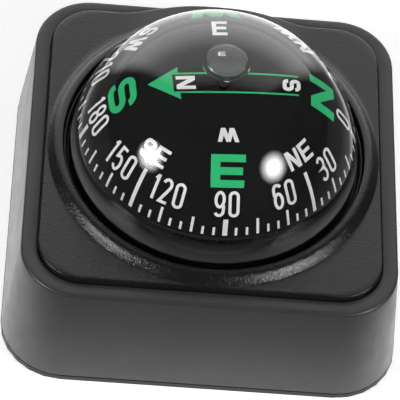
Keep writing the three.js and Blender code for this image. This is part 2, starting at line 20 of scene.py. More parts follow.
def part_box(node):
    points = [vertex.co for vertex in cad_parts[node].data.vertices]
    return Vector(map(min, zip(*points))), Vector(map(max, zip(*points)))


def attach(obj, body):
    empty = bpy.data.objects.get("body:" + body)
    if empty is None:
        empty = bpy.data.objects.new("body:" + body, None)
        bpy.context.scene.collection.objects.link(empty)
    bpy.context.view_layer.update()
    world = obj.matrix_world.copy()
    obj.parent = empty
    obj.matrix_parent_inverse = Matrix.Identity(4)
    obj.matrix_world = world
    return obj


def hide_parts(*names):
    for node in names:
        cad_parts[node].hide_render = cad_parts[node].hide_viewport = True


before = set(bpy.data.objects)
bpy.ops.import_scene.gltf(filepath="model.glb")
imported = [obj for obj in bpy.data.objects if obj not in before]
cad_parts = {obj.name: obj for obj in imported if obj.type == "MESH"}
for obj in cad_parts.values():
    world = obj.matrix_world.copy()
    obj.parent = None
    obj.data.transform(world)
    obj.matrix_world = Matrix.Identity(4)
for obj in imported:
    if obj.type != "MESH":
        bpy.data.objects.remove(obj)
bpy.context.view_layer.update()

MM = 0.001
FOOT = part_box("base_plate")[0].z
DOUBLES = 0.000001

log = logging.getLogger("compass")

Colour = tuple[float, float, float]
Outline = Sequence[tuple[float, float]]
Band = tuple[float, float]
Socket = bpy.types.NodeSocket
Piece = bpy.types.Object


# Modelling with the mesh tools


def metres(band: Band) -> Band:
    """A pair of millimetres in metres."""
    return band[0] * MM, band[1] * MM


def choose(*pieces: Piece) -> None:
    """Selects these pieces alone, with the first one active.

    Args:
        pieces: the pieces to select.
    """
    bpy.ops.object.select_all(action="DESELECT")
    for piece in pieces:
        piece.select_set(True)
    bpy.context.view_layer.objects.active = pieces[0]


@contextmanager
def editing(piece: Piece, kind: str = "VERT") -> Iterator[None]:
    """Opens a piece in edit mode and closes it again.

    Args:
        piece: the piece to edit.
        kind: what the selection consists of, VERT, EDGE or FACE.

    Returns:
        A context in which the mesh tools act on the piece.
    """
    choose(piece)
    flags = tuple(kind == option for option in ("VERT", "EDGE", "FACE"))
    bpy.context.tool_settings.mesh_select_mode = flags
    bpy.ops.object.mode_set(mode="EDIT")
    yield
    bpy.ops.object.mode_set(mode="OBJECT")


def new_piece(name: str) -> Piece:
    """Starts a piece with an empty mesh, to draw into.

    Args:
        name: the piece's name.

    Returns:
        The new object at the origin.
    """
    bpy.ops.object.select_all(action="DESELECT")
    bpy.ops.mesh.primitive_plane_add(size=MM)
    piece = bpy.context.object
    piece.name = piece.data.name = name
    with editing(piece):
        bpy.ops.mesh.select_all(action="SELECT")
        bpy.ops.mesh.delete(type="VERT")
    return piece


def draw_chain(points: Sequence[Vector], closed: bool = False) -> None:
    """Draws a chain of edges into the open mesh by extruding one point along it.

    Args:
        points: the chain's points, in metres.
        closed: whether the chain comes back to its first point.
    """
    bpy.ops.mesh.select_all(action="DESELECT")
    bpy.ops.mesh.primitive_plane_add(size=MM, location=points[0])
    bpy.ops.mesh.merge(type="CENTER")
    stops = [*points, points[0]] if closed else points
    for here, there in pairwise(stops):
        bpy.ops.mesh.extrude_region_move(TRANSFORM_OT_translate={"value": tuple(there - here)})


def weld() -> None:
    """Selects all of the open mesh and merges its doubles."""
    bpy.ops.mesh.select_all(action="SELECT")
    bpy.ops.mesh.remove_doubles(threshold=DOUBLES)


def close_up() -> None:
    """Merges doubles in the open mesh and turns its faces outwards."""
    weld()
    bpy.ops.mesh.normals_make_consistent(inside=False)


def select_points(piece: Piece, chosen: Callable[[int, Vector], bool]) -> None:
    """Selects points of a piece in object mode, with the edges between them.

    Args:
        piece: the piece.
        chosen: says of a point's number and place whether it is selected.
    """
    mesh = piece.data
    flags = [chosen(point.index, point.co) for point in mesh.vertices]
    edge_flags = [all(flags[end] for end in edge.vertices) for edge in mesh.edges]
    mesh.vertices.foreach_set("select", flags)
    mesh.edges.foreach_set("select", edge_flags)
    mesh.polygons.foreach_set("select", [False] * len(mesh.polygons))


def shape(piece: Piece, rule: Callable[[Vector], Vector]) -> Piece:
    """Moves every point of a piece by a rule.

    Args:
        piece: the piece.
        rule: gives a point's new place from its old one.

    Returns:
        The piece.
    """
    for point in piece.data.vertices:
        point.co = rule(point.co)
    piece.data.update()
    return piece


def applied(piece: Piece, kind: str, **settings: object) -> Piece:
    """Puts a modifier on a piece and applies it.

    Args:
        piece: the piece.
        kind: the modifier's type.
        settings: its settings.

    Returns:
        The piece.
    """
    choose(piece)
    bpy.ops.object.modifier_add(type=kind)
    modifier = piece.modifiers[-1]
    for name, value in settings.items():
        setattr(modifier, name, value)
    bpy.ops.object.modifier_apply(modifier=modifier.name)
    return piece


def round_edges(piece: Piece, width: float, steps: int = 2, angle: float = 40.0) -> Piece:
    """Rounds the sharp edges of a piece.

    Args:
        piece: the piece.
        width: the rounding's width in millimetres.
        steps: its steps.
        angle: the least angle in degrees of an edge that is rounded.

    Returns:
        The piece.
    """
    return applied(
        piece,
        "BEVEL",
        width=width * MM,
        segments=steps,
        limit_method="ANGLE",
        angle_limit=math.radians(angle),
    )


def joined(name: str, pieces: Sequence[Piece]) -> Piece:
    """Joins pieces into one.

    Args:
        name: the name of the joined piece.
        pieces: the pieces, which the joined piece takes in.

    Returns:
        The joined piece.
    """
    choose(*pieces)
    if len(pieces) > 1:
        bpy.ops.object.join()
    pieces[0].name = pieces[0].data.name = name
    return pieces[0]


def copied(piece: Piece, name: str) -> Piece:
    """Copies a piece with a mesh of its own.

    Args:
        piece: the piece to copy.
        name: the copy's name.

    Returns:
        The copy.
    """
    twin = piece.copy()
    twin.data = piece.data.copy()
    twin.name = twin.data.name = name
    bpy.context.collection.objects.link(twin)
    return twin


def deleted(*pieces: Piece) -> None:
    """Deletes patterns that only copies were made of."""
    choose(*pieces)
    bpy.ops.object.delete()


def quarter(radius: float, steps: int) -> list[Band]:
    """Points of a rounded edge, from the wall to the top.

    Args:
        radius: the rounding's radius.
        steps: the number of steps between the points.

    Returns:
        How far each point lies inside the wall and under the top.
    """
    turns = [math.radians(90 * step / steps) for step in range(steps + 1)]
    return [(radius * (1 - math.cos(turn)), radius * (1 - math.sin(turn))) for turn in turns]


def arc(centre: Band, radii: Band, start: float, stop: float, steps: int) -> list[Band]:
    """Points along an arc of an ellipse.

    Args:
        centre: its centre.
        radii: its half width and half height.
        start: the first angle in degrees, from the first axis.
        stop: the last angle in degrees.
        steps: the number of steps between them.

    Returns:
        The points.
    """
    turns = [math.radians(start + (stop - start) * step / steps) for step in range(steps + 1)]
    return [(centre[0] + radii[0] * math.cos(t), centre[1] + radii[1] * math.sin(t)) for t in turns]


def turned(
    name: str, outline: Outline, steps: int, closed: bool = True, rise: float = FOOT
) -> Piece:
    """Spins an outline round the upright axis.

    Args:
        name: the piece's name.
        outline: points of radius and height.
        steps: the steps of the full turn.
        closed: whether the outline comes back to its first point, or ends on the axis.
        rise: what is added to the heights, in metres.

    Returns:
        The closed piece.
    """
    piece = new_piece(name)
    with editing(piece):
        points = [Vector((radius * MM, 0, rise + height * MM)) for radius, height in outline]
        draw_chain(points, closed)
        bpy.ops.mesh.select_all(action="SELECT")
        bpy.ops.mesh.spin(steps=steps, angle=math.tau, center=(0, 0, 0), axis=(0, 0, 1))
        close_up()
    return piece


class Ring(Enum):
    """What a level of a skin looks like from above."""

    SQUARE = "square"
    ROUND = "round"


@dataclass(frozen=True)
class Level:
    """One level of a skin: its width and height, and for a square its corner radius."""

    ring: Ring
    width: float
    height: float
    corner: float = 0.0
    cuts: int = 0


CORNER_STEPS = 10
SIDE_STEPS = 38
RING_COUNT = 4 * (CORNER_STEPS + SIDE_STEPS)
# The share of a straight side's length by which its edge is known.
NEARLY_WHOLE = 0.9
# How far rings are moved apart to be bridged, in metres.
APART = 0.05


def add_level(piece: Piece, level: Level) -> None:
    """Draws a level's ring of edges into a piece, after the points that it has.

    Args:
        piece: the piece.
        level: the level.
    """
    first = len(piece.data.vertices)
    place = (0, 0, FOOT + level.height * MM)
    if level.ring is Ring.ROUND:
        with editing(piece):
            bpy.ops.mesh.select_all(action="DESELECT")
            radius = level.width / 2 * MM
            bpy.ops.mesh.primitive_circle_add(vertices=RING_COUNT, radius=radius, location=place)
        return
    with editing(piece):
        bpy.ops.mesh.select_all(action="DESELECT")
        bpy.ops.mesh.primitive_plane_add(size=level.width * MM, location=place)
        bpy.ops.mesh.bevel(offset=level.corner * MM, segments=CORNER_STEPS, affect="VERTICES")
    select_points(piece, lambda index, _: index >= first)
    piece.data.polygons[-1].select = True
    with editing(piece, "FACE"):
        bpy.ops.mesh.delete(type="ONLY_FACE")
    straight = (level.width - 2 * level.corner) * MM
    select_points(piece, lambda index, _: index >= first)
    for edge in piece.data.edges:
        if edge.select:
            head, tail = (piece.data.vertices[end].co for end in edge.vertices)
            edge.select = (head - tail).length > NEARLY_WHOLE * straight
    chosen = {end for edge in piece.data.edges if edge.select for end in edge.vertices}
    for point in piece.data.vertices:
        point.select = point.index in chosen
    with editing(piece, "EDGE"):
        bpy.ops.mesh.subdivide(number_cuts=SIDE_STEPS - 1)


def bridged(piece: Piece, here: int, there: int, low: float, rise: float, cuts: int) -> None:
    """Bridges two of a piece's rings.

    The bridge tool takes its direction from the rings' centres, so the second ring stands far
    above the first meanwhile, and its points and the bridge's cuts come back down afterwards.

    Args:
        piece: the piece.
        here: the number of the first ring's first point.
        there: the number of the second ring's first point.
        low: the first ring's height in metres.
        rise: how far the second ring stands above it in metres.
        cuts: the rings that divide the bridge.
    """
    points = piece.data.vertices
    for point in points[there : there + RING_COUNT]:
        point.co.z += APART
    rings = {*range(here, here + RING_COUNT), *range(there, there + RING_COUNT)}
    select_points(piece, lambda index, _: index in rings)
    first_cut = len(points)
    with editing(piece, "EDGE"):
        bpy.ops.mesh.bridge_edge_loops(number_cuts=cuts, interpolation="LINEAR")
    points = piece.data.vertices
    for point in [*points[there : there + RING_COUNT], *points[first_cut:]]:
        point.co.z = low + (point.co.z - low) * rise / (rise + APART)


def lofted(name: str, levels: Sequence[Level]) -> Piece:
    """Bridges a closed row of levels, each to the next and the last to the first.

    Args:
        name: the piece's name.
        levels: the levels. The cuts of one divide the bridge to the next.

    Returns:
        The closed piece.
    """
    piece = new_piece(name)
    for level in levels:
        add_level(piece, level)
    for number, level in enumerate(levels):
        following = (number + 1) % len(levels)
        rise = (levels[following].height - level.height) * MM
        low = FOOT + level.height * MM
        bridged(piece, number * RING_COUNT, following * RING_COUNT, low, rise, level.cuts)
    with editing(piece):
        close_up()
    return piece


# Finishes


def wired(
    tree: bpy.types.NodeTree,
    kind: str,
    inputs: dict[str | int, object] | None = None,
    **settings: object,
) -> bpy.types.Node:
    """Adds a node to a tree.

    Args:
        tree: the tree.
        kind: the node's type.
        inputs: a value or another node's output for each input.
        settings: the node's own settings.

    Returns:
        The node.
    """
    node = tree.nodes.new(kind)
    for name, value in settings.items():
        setattr(node, name, value)
    for name, value in (inputs or {}).items():
        if isinstance(value, Socket):
            tree.links.new(value, node.inputs[name])
        else:
            node.inputs[name].default_value = value
    return node


class Recipe:
    """The nodes of one material, written from the coordinates to the shader."""

    def __init__(self, name: str) -> None:
        """Starts an empty material.

        Args:
            name: the material's name.
        """
        self.material = bpy.data.materials.new(name)
        self.material.use_nodes = True
        self.tree = self.material.node_tree
        self.tree.nodes.clear()

    def add(
        self, kind: str, *inputs: dict[str | int, object], **settings: object
    ) -> bpy.types.Node:
        """Adds a node to the material, as wired does."""
        return wired(self.tree, kind, *inputs, **settings)

    def place(self, stretch: Colour = (1.0, 1.0, 1.0)) -> Socket:
        """The point's place on the piece, stretched along the axes."""
        spot = self.add("ShaderNodeTexCoord").outputs["Object"]
        return self.add("ShaderNodeMapping", {"Vector": spot, "Scale": stretch}).outputs["Vector"]

    def noise(
        self, size: float, detail: float = 2.0, stretch: Colour = (1.0, 1.0, 1.0)
    ) -> Socket:
        """Noise from about 0.3 to 0.7.

        Args:
            size: the size of its spots in millimetres.
            detail: how many finer layers lie on it.
            stretch: how it is squeezed along the axes.

        Returns:
            The noise.
        """
        inputs = {"Vector": self.place(stretch), "Scale": 1 / (size * MM), "Detail": detail}
        return self.add("ShaderNodeTexNoise", inputs).outputs["Fac"]

    def spread(
        self, value: Socket, low: float, high: float, start: float = 0.3, stop: float = 0.7
    ) -> Socket:
        """Spreads a value from one range over another.

        Args:
            value: the value.
            low: the result at the start.
            high: the result at the stop.
            start: the value that the range begins at.
            stop: the value that it ends at.

        Returns:
            The result.
        """
        inputs = {"From Min": start, "From Max": stop, "To Min": low, "To Max": high}
        return self.add("ShaderNodeMapRange", {"Value": value, **inputs}).outputs["Result"]

    def blend(self, share: Socket, first: object, second: object) -> Socket:
        """Blends two colours.

        Args:
            share: the second colour's share.
            first: the first colour.
            second: the second colour.

        Returns:
            The blended colour.
        """
        inputs = {0: share, 6: first, 7: second}
        return self.add("ShaderNodeMix", inputs, data_type="RGBA").outputs[2]

    def relief(self, height: Socket, depth: float) -> Socket:
        """The normal of a surface that is bumped by a height, to a depth in millimetres."""
        inputs = {"Height": height, "Distance": depth * MM}
        return self.add("ShaderNodeBump", inputs).outputs["Normal"]

    def solid(self, inputs: dict[str | int, object]) -> Socket:
        """The shader of a solid surface."""
        return self.add("ShaderNodeBsdfPrincipled", inputs).outputs["BSDF"]

    def done(self, shader: Socket) -> bpy.types.Material:
        """Puts the shader out.

        Args:
            shader: the finished shader.

        Returns:
            The material.
        """
        self.add("ShaderNodeOutputMaterial", {"Surface": shader})
        return self.material

    def done_clear(self, shader: Socket, passed: float) -> bpy.types.Material:
        """Puts a clear shader out, in whose shadow the lamps' light still falls.

        Args:
            shader: the finished shader.
            passed: the share of the lamps' light that comes through.

        Returns:
            The material.
        """
        way = self.add("ShaderNodeBsdfTransparent", {"Color": paint((passed,) * 3)})
        shadow = self.add("ShaderNodeLightPath").outputs["Is Shadow Ray"]
        mixed = self.add("ShaderNodeMixShader", {0: shadow, 1: shader, 2: way.outputs["BSDF"]})
        return self.done(mixed.outputs["Shader"])


LENGTHWISE = (1.0, 0.3, 1.0)
ALL_ROUND = (0.05, 0.05, 1.0)
COOL_CLEAR = (0.97, 0.98, 0.98)
PLAIN_CLEAR = (0.99, 0.99, 0.99)
AIR_CLEAR = (0.98, 0.98, 0.98)
WHITE = (1.0, 1.0, 1.0)


def paint(colour: Colour, brightness: float = 1.0) -> tuple[float, float, float, float]:
    """A colour as a socket wants it, brightened or darkened."""
    return (*(min(1.0, part * brightness) for part in colour), 1.0)


@dataclass(frozen=True)
class Moulded:
    """Moulded plastic, rubber or foam: an even colour with a fine grain from the mould."""

    name: str
    colour: Colour
    roughness: Band = (0.4, 0.5)
    drift: float = 0.1
    grain: float = 0.2
    depth: float = 0.01
    scuffs: float = 0.0
    reflection: float = 1.5
    patches: float = 9.0
    gloss_patches: float = 2.5
    streaks: float = 1.2
    streak_band: Band = (0.64, 0.72)
    scuff_brightness: float = 3.0

    def material(self) -> bpy.types.Material:
        """Writes the material.

        Returns:
            The material.
        """
        recipe = Recipe(self.name)
        tone = recipe.noise(self.patches, detail=3.0)
        dark, pale = paint(self.colour, 1 - self.drift), paint(self.colour, 1 + self.drift)
        colour = recipe.blend(recipe.spread(tone, 0, 1), dark, pale)
        gloss = recipe.spread(recipe.noise(self.gloss_patches, detail=4.0), *self.roughness)
        if self.scuffs:
            streaks = recipe.noise(self.streaks, detail=6.0, stretch=LENGTHWISE)
            worn = recipe.spread(streaks, 0, self.scuffs, *self.streak_band)
            colour = recipe.blend(worn, colour, paint(self.colour, self.scuff_brightness))
        rough_skin = recipe.relief(recipe.noise(self.grain, detail=1.0), self.depth)
        inputs = {
            "Base Color": colour,
            "Roughness": gloss,
            "IOR": self.reflection,
            "Normal": rough_skin,
        }
        return recipe.done(recipe.solid(inputs))


@dataclass(frozen=True)
class Metal:
    """Turned or plated metal with fine circular tool marks."""

    name: str
    colour: Colour
    roughness: Band = (0.18, 0.32)
    pitch: float = 0.05
    patches: float = 1.5
    gloss_patches: float = 0.6
    drift: Band = (0.85, 1.1)
    depth: float = 0.002

    def material(self) -> bpy.types.Material:
        """Writes the material.

        Returns:
            The material.
        """
        recipe = Recipe(self.name)
        tone = recipe.spread(recipe.noise(self.patches, detail=3.0), 0, 1)
        colour = recipe.blend(tone, *(paint(self.colour, share) for share in self.drift))
        marks = recipe.noise(self.pitch, detail=1.0, stretch=ALL_ROUND)
        gloss = recipe.noise(self.gloss_patches, detail=3.0)
        inputs = {
            "Base Color": colour,
            "Metallic": 1.0,
            "Roughness": recipe.spread(gloss, *self.roughness),
            "Normal": recipe.relief(marks, self.depth),
        }
        return recipe.done(recipe.solid(inputs))


@dataclass(frozen=True)
class Clear:
    """Polished clear plastic, whose index is set against what lies behind the face.

    Near the foot of the ball, where it is welded, it is hazy, and the haze's brightness is painted
    light: brightest just above the ring and fading out upwards. Its tones are pairs of a height and
    a share of that brightness, and painted side light makes it brighter to the left and right of
    the ball by the side factor, from the first of the side widths to the second.
    """

    name: str
    index: float
    hairlines: float = 0.0
    haze: float = 0.0
    # Heights with shares of the haze's painted light.
    haze_tones: tuple[Band, ...] = (
        (18.25, 0.06),
        (18.6, 1.0),
        (20.3, 0.42),
        (20.9, 0.12),
        (22.0, 0.12),
    )
    haze_end: Band = (21.3, 22.0)
    haze_sides: float = 2.7
    haze_widths: Band = (5.0, 18.0)
    patches: float = 12.0
    hairline_size: float = 6.0
    hairline_band: Band = (0.5, 0.75)
    passed: float = 0.96

    def material(self) -> bpy.types.Material:
        """Writes the material, which lets lamps through as clear plastic does.

        Returns:
            The material.
        """
        recipe = Recipe(self.name)
        tint = recipe.blend(recipe.noise(self.patches), paint(COOL_CLEAR), paint(PLAIN_CLEAR))
        lines = recipe.noise(self.hairline_size, detail=3.0, stretch=LENGTHWISE)
        inputs = {
            "Base Color": tint,
            "Roughness": recipe.spread(lines, 0.0, self.hairlines, *self.hairline_band),
            "IOR": self.index,
            "Transmission Weight": 1.0,
        }
        solid = recipe.solid(inputs)
        if self.haze:
            solid = self.hazed(recipe, solid)
        return recipe.done_clear(solid, self.passed)

    def hazed(self, recipe: Recipe, solid: Socket) -> Socket:
        """Lays the haze, a diffuse layer whose brightness is painted light, over the clear plastic.

        Args:
            recipe: the material's nodes.
            solid: the shader of the clear plastic.

        Returns:
            The shader with its haze.
        """
        place = recipe.add("ShaderNodeSeparateXYZ", {"Vector": recipe.place()}).outputs
        width = recipe.add("ShaderNodeMath", {0: place["X"]}, operation="ABSOLUTE").outputs[0]
        foot, top = self.haze_tones[0][0], self.haze_tones[-1][0]
        depth = recipe.spread(place["Z"], 0.0, 1.0, FOOT + foot * MM, FOOT + top * MM)
        # Painted light: the haze's brightness by height, brightest just above the ring, fading
        # upwards.
        tones = recipe.add("ShaderNodeValToRGB", {"Fac": depth})
        stops = tones.color_ramp.elements
        for level, tone in self.haze_tones:
            share = (level - foot) / (top - foot)
            stop = stops[-int(share)] if share in (0.0, 1.0) else stops.new(share)
            stop.color = paint((self.haze,) * 3, tone)
        # Painted side light: the haze is brighter to the left and right of the ball.
        painted_side_gain = recipe.spread(width, 1.0, self.haze_sides, *metres(self.haze_widths))
        inputs = {0: tones.outputs["Color"], "Scale": painted_side_gain}
        colour = recipe.add("ShaderNodeVectorMath", inputs, operation="SCALE").outputs["Vector"]
        mist_and_painted_light = recipe.add("ShaderNodeBsdfDiffuse", {"Color": colour}).outputs["BSDF"]
        end = (FOOT + level * MM for level in self.haze_end)
        inputs = {0: recipe.spread(place["Z"], 1.0, 0.0, *end), 1: solid, 2: mist_and_painted_light}
        return recipe.add("ShaderNodeMixShader", inputs).outputs["Shader"]


@dataclass(frozen=True)
class AirInLiquid:
    """The skin of an air bubble, whose index against the liquid is below one."""

    name: str
    index: float
    patches: float = 2.0

    def material(self) -> bpy.types.Material:
        """Writes the material.

        Returns:
            The material.
        """
        recipe = Recipe(self.name)
        tint = recipe.blend(recipe.noise(self.patches), paint(AIR_CLEAR), paint(WHITE))
        inputs = {"Color": tint, "Roughness": 0.0, "IOR": self.index}
        skin = recipe.add("ShaderNodeBsdfGlass", inputs).outputs["BSDF"]
        return recipe.done_clear(skin, 1.0)


# Refractive indices.
ACRYLIC, LIQUID = 1.49, 1.43

# Each has its colour and the range of its roughness, and then the drift of its colour, the size
# and depth of its grain in millimetres and its share of scuffs.
HOUSING_GREY = Moulded(
    "housing_plastic", (0.034, 0.034, 0.033), (0.38, 0.46), 0.08, 0.25, 0.01, 0.1
)
FACE_GREY = Moulded("face_plastic", (0.009, 0.009, 0.0087), (0.22, 0.28), 0.1, 0.21, 0.065)
BASE_GREY = Moulded("base_plastic", (0.022, 0.022, 0.022), (0.45, 0.55), 0.1, 0.3, 0.01, 0.1)
GLOSS_BLACK = Moulded("gloss_black", (0.005, 0.005, 0.005), (0.1, 0.16), 0.2, 1.5, 0.001)
SEAL_BLACK = Moulded("gasket_rubber", (0.012, 0.012, 0.012), (0.6, 0.7), 0.15, 0.15, 0.01)
FOAM_BLACK = Moulded("foam", (0.016, 0.016, 0.017), (0.85, 0.95), 0.2, 0.35, 0.12)
FLOAT_BLACK = Moulded("float_foam", (0.012, 0.012, 0.012), (0.85, 0.95), 0.15, 0.25, 0.06)
JEWEL_BLUE = Moulded("jewel", (0.62, 0.7, 0.78), (0.05, 0.1), 0.08, 0.5, 0.001)

BRASS = Metal("blackened_brass", (0.028, 0.022, 0.014), (0.3, 0.4))
PIN_STEEL = Metal("pin_steel", (0.62, 0.63, 0.65), (0.12, 0.2))
SCREW_STEEL = Metal("screw_steel", (0.58, 0.59, 0.6), (0.25, 0.4), pitch=0.1)
OUTER_CLEAR = Clear("clear_dome_outside", ACRYLIC, hairlines=0.008)
# Its haze is a diffuse layer whose brightness is painted light.
INNER_CLEAR = Clear("clear_dome_wetted", ACRYLIC / LIQUID, haze=0.052)
BUBBLE_SKIN = AirInLiquid("air_bubble", 1 / LIQUID)

# These lie in the liquid, against which plastic and ink hardly shine.
in_liquid = partial(Moulded, reflection=1.08)
CUP_BLACK = Moulded(
    "cup_plastic", (0.045, 0.045, 0.045), (0.4, 0.5), 0.1, 0.4, 0.004, reflection=1.06
)
CARD_BLACK = in_liquid("card_plastic", (0.009, 0.009, 0.009), (0.5, 0.6), 0.12, 0.3, 0.0008)
HUB_BLACK = in_liquid("hub_plastic", (0.01, 0.01, 0.01), (0.45, 0.55), 0.12, 0.3, 0.004)
MAGNET_BLACK = in_liquid("magnet", (0.03, 0.03, 0.031), (0.4, 0.5), 0.15, 0.12, 0.01)
WHITE_INK = in_liquid("white_ink", (0.75, 0.75, 0.735), (0.5, 0.6), 0.05, 0.15, 0.002)
GREEN_INK = in_liquid("green_ink", (0.034, 0.44, 0.163), (0.5, 0.6), 0.06, 0.15, 0.002)

Finish = Moulded | Metal | Clear | AirInLiquid
made: dict[str, bpy.types.Material] = {}


def material_of(finish: Finish) -> bpy.types.Material:
    """The material of a finish, written once.

    Args:
        finish: the finish.

    Returns:
        Its material.
    """
    if finish.name not in made:
        made[finish.name] = finish.material()
    return made[finish.name]


def dress(piece: Piece, *finishes: Finish) -> Piece:
    """Gives a piece its finishes, in the order of its material slots.

    Args:
        piece: the piece.
        finishes: the finishes.

    Returns:
        The piece.
    """
    piece.data.materials.clear()
    for finish in finishes:
        piece.data.materials.append(material_of(finish))
    return piece


def dress_node(node: str, finish: Finish) -> None:
    """Gives a CAD node's own object a finish.

    Args:
        node: the node's name.
        finish: the finish.
    """
    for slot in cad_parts[node].material_slots:
        slot.material = material_of(finish)
    log.info("%s keeps its CAD shape, dressed as %s", node, finish.name)


def finished(piece: Piece, body: str, slot: str, *nodes: str, smooth: float = 30.0) -> Piece:
    """Shades a piece, sets it on its body and hides the CAD nodes that it stands for.

    Args:
        piece: the piece.
        body: the CAD body that it rides on.
        slot: the record's material slot for its finish; not used.
        nodes: the CAD nodes that it stands for.
        smooth: the angle in degrees up to which its faces are shaded as one.

    Returns:
        The piece.
    """
    choose(piece)
    bpy.ops.object.shade_smooth_by_angle(angle=math.radians(smooth))
    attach(piece, body)
    if nodes:
        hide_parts(*nodes)
    log.info("%s rides on %s with %d faces", piece.name, body, len(piece.data.polygons))
    return piece


def smoothstep(share: float) -> float:
    """A soft step from 0 to 1."""
    share = max(0.0, min(1.0, share))
    return share * share * (3 - 2 * share)


# Sub-assemblies


@dataclass
class Housing:
    """The drafted square housing with its face plate, base plate, screws and pad.

    The collar round the ball slopes down to the plate. The swell stands behind the ball, from
    swell_start on, and is highest over the middle. Its blend is how softly it meets the plate.
    """

    base_width: float = 55.0
    top_width: float = 50.8
    base_corner: float = 8.8
    top_corner: float = 7.8
    rim: float = 17.5
    bottom: float = 0.82
    edge: float = 0.5
    edge_steps: int = 5
    foot_edge: float = 0.15
    small_edge_steps: int = 3
    wall: float = 2.0
    recess: float = 46.6
    recess_corner: float = 6.15
    recess_edge: float = 0.15
    recess_bevel: float = 0.045
    ledge_top: float = 16.4
    ledge_bottom: float = 14.8
    opening: float = 45.7
    boss: tuple[Band, Band] = ((1.15, 2.6), (1.6, 14.9))
    boss_place: float = 20.0
    boss_steps: int = 32
    plate: float = 46.3
    plate_corner: float = 6.0
    plate_top: float = 18.4
    plate_edge: float = 0.25
    plate_cuts: int = 7
    hole: float = 41.6
    lip: float = 0.35
    lip_edge: float = 0.15
    lip_bevel: float = 0.04
    slope: float = 1.75
    slope_angle: float = 45.0
    slope_steps: int = 8
    crease: Band = (0.12, 0.03)
    collar: float = 1.15
    swell: float = 2.85
    swell_fall: float = 0.2
    swell_half_width: float = 14.0
    swell_fullness: float = 1.4
    swell_sink: float = 0.05
    swell_front: float = 15.0
    swell_start: float = 16.5
    swell_run: float = 2.5
    swell_blend: Band = (0.02, 0.2)
    slack: float = 0.01
    peg: tuple[float, Band] = (1.0, (14.2, 17.4))
    peg_place: float = 18.95
    peg_steps: int = 24

    def outside(self, height: float, inset: float = 0.0) -> Level:
        """A level of the housing's outside.

        Args:
            height: its height.
            inset: how far it lies inside the walls.

        Returns:
            The level.
        """
        share = height / self.rim
        width = self.base_width + (self.top_width - self.base_width) * share - 2 * inset
        corner = self.base_corner + (self.top_corner - self.base_corner) * share - inset
        return Level(Ring.SQUARE, width, height, corner)

    def shell(self) -> Piece:
        """Builds the outer moulding.

        Returns:
            The piece.
        """
        foot_round = [
            self.outside(self.bottom + drop, inset)
            for inset, drop in reversed(quarter(self.foot_edge, self.small_edge_steps))
        ]
        top = self.outside(self.rim - self.edge)
        rim_round = [
            Level(Ring.SQUARE, top.width - 2 * inset, self.rim - drop, top.corner - inset)
            for inset, drop in quarter(self.edge, self.edge_steps)
        ]
        levels = [
            self.outside(self.bottom, self.wall),
            *foot_round,
            *rim_round,
            self.recessed(self.recess_edge, self.rim),
            self.recessed(self.recess_bevel, self.rim - self.recess_bevel),
            self.recessed(0.0, self.rim - self.recess_edge),
            self.recessed(0.0, self.ledge_top),
            Level(Ring.ROUND, self.opening, self.ledge_top),
            Level(Ring.ROUND, self.opening, self.ledge_bottom),
            self.outside(self.ledge_bottom, self.wall),
        ]
        (inside, outside), (low, high) = self.boss
        outline = [(inside, low), (outside, low), (outside, high), (inside, high)]
        boss = turned("boss", outline, self.boss_steps)
        skin = lofted("housing_skin", levels)
        return joined("housing_skin", [skin, *self.corners(boss, self.boss_place)])

    def recessed(self, wider: float, height: float) -> Level:
        """A level of the face plate's recess, wider than its walls by so much all round."""
        return Level(Ring.SQUARE, self.recess + 2 * wider, height, self.recess_corner + wider)

    def corners(self, pattern: Piece, place: float) -> list[Piece]:
        """Copies a piece into the housing's four corners and deletes it.

        Args:
            pattern: the piece.
            place: how far the copies lie from the middle both ways.

        Returns:
            The copies.
        """
        copies = []
        for x, y in product((-1, 1), repeat=2):
            copies.append(copied(pattern, pattern.name))
            copies[-1].data.transform(Matrix.Translation(Vector((x, y, 0)) * place * MM))
        deleted(pattern)
        return copies

    def swollen(self, point: Vector) -> Vector:
        """Raises a point of the plate's top where the swell behind the ball lies.

        Args:
            point: the point.

        Returns:
            Its new place.
        """
        x, y, height = point.x / MM, point.y / MM, (point.z - FOOT) / MM
        beside = y < self.swell_front or abs(x) >= self.swell_half_width
        if beside or height < self.plate_top - self.plate_edge - self.slack:
            return point
        hole = self.hole / 2
        share = (y - hole) / (self.plate / 2 - hole)
        rise = self.swell + self.swell_fall * (1 - max(0.0, share))
        across = (abs(x) / self.swell_half_width) ** self.swell_fullness
        bump = rise * (1 + math.cos(math.pi * across)) / 2 - self.swell_sink
        bump *= smoothstep((y - self.swell_start) / self.swell_run)
        under = max(0.0, height - self.plate_top)
        least, most = self.swell_blend
        soft = min(most, 2 * max(0.0, min(under, bump)) + least)
        gap = max(0.0, soft - abs(under - bump)) / soft
        top = max(under, bump) + gap * gap * soft / 4
        return Vector((point.x, point.y, point.z + (top - under) * MM))

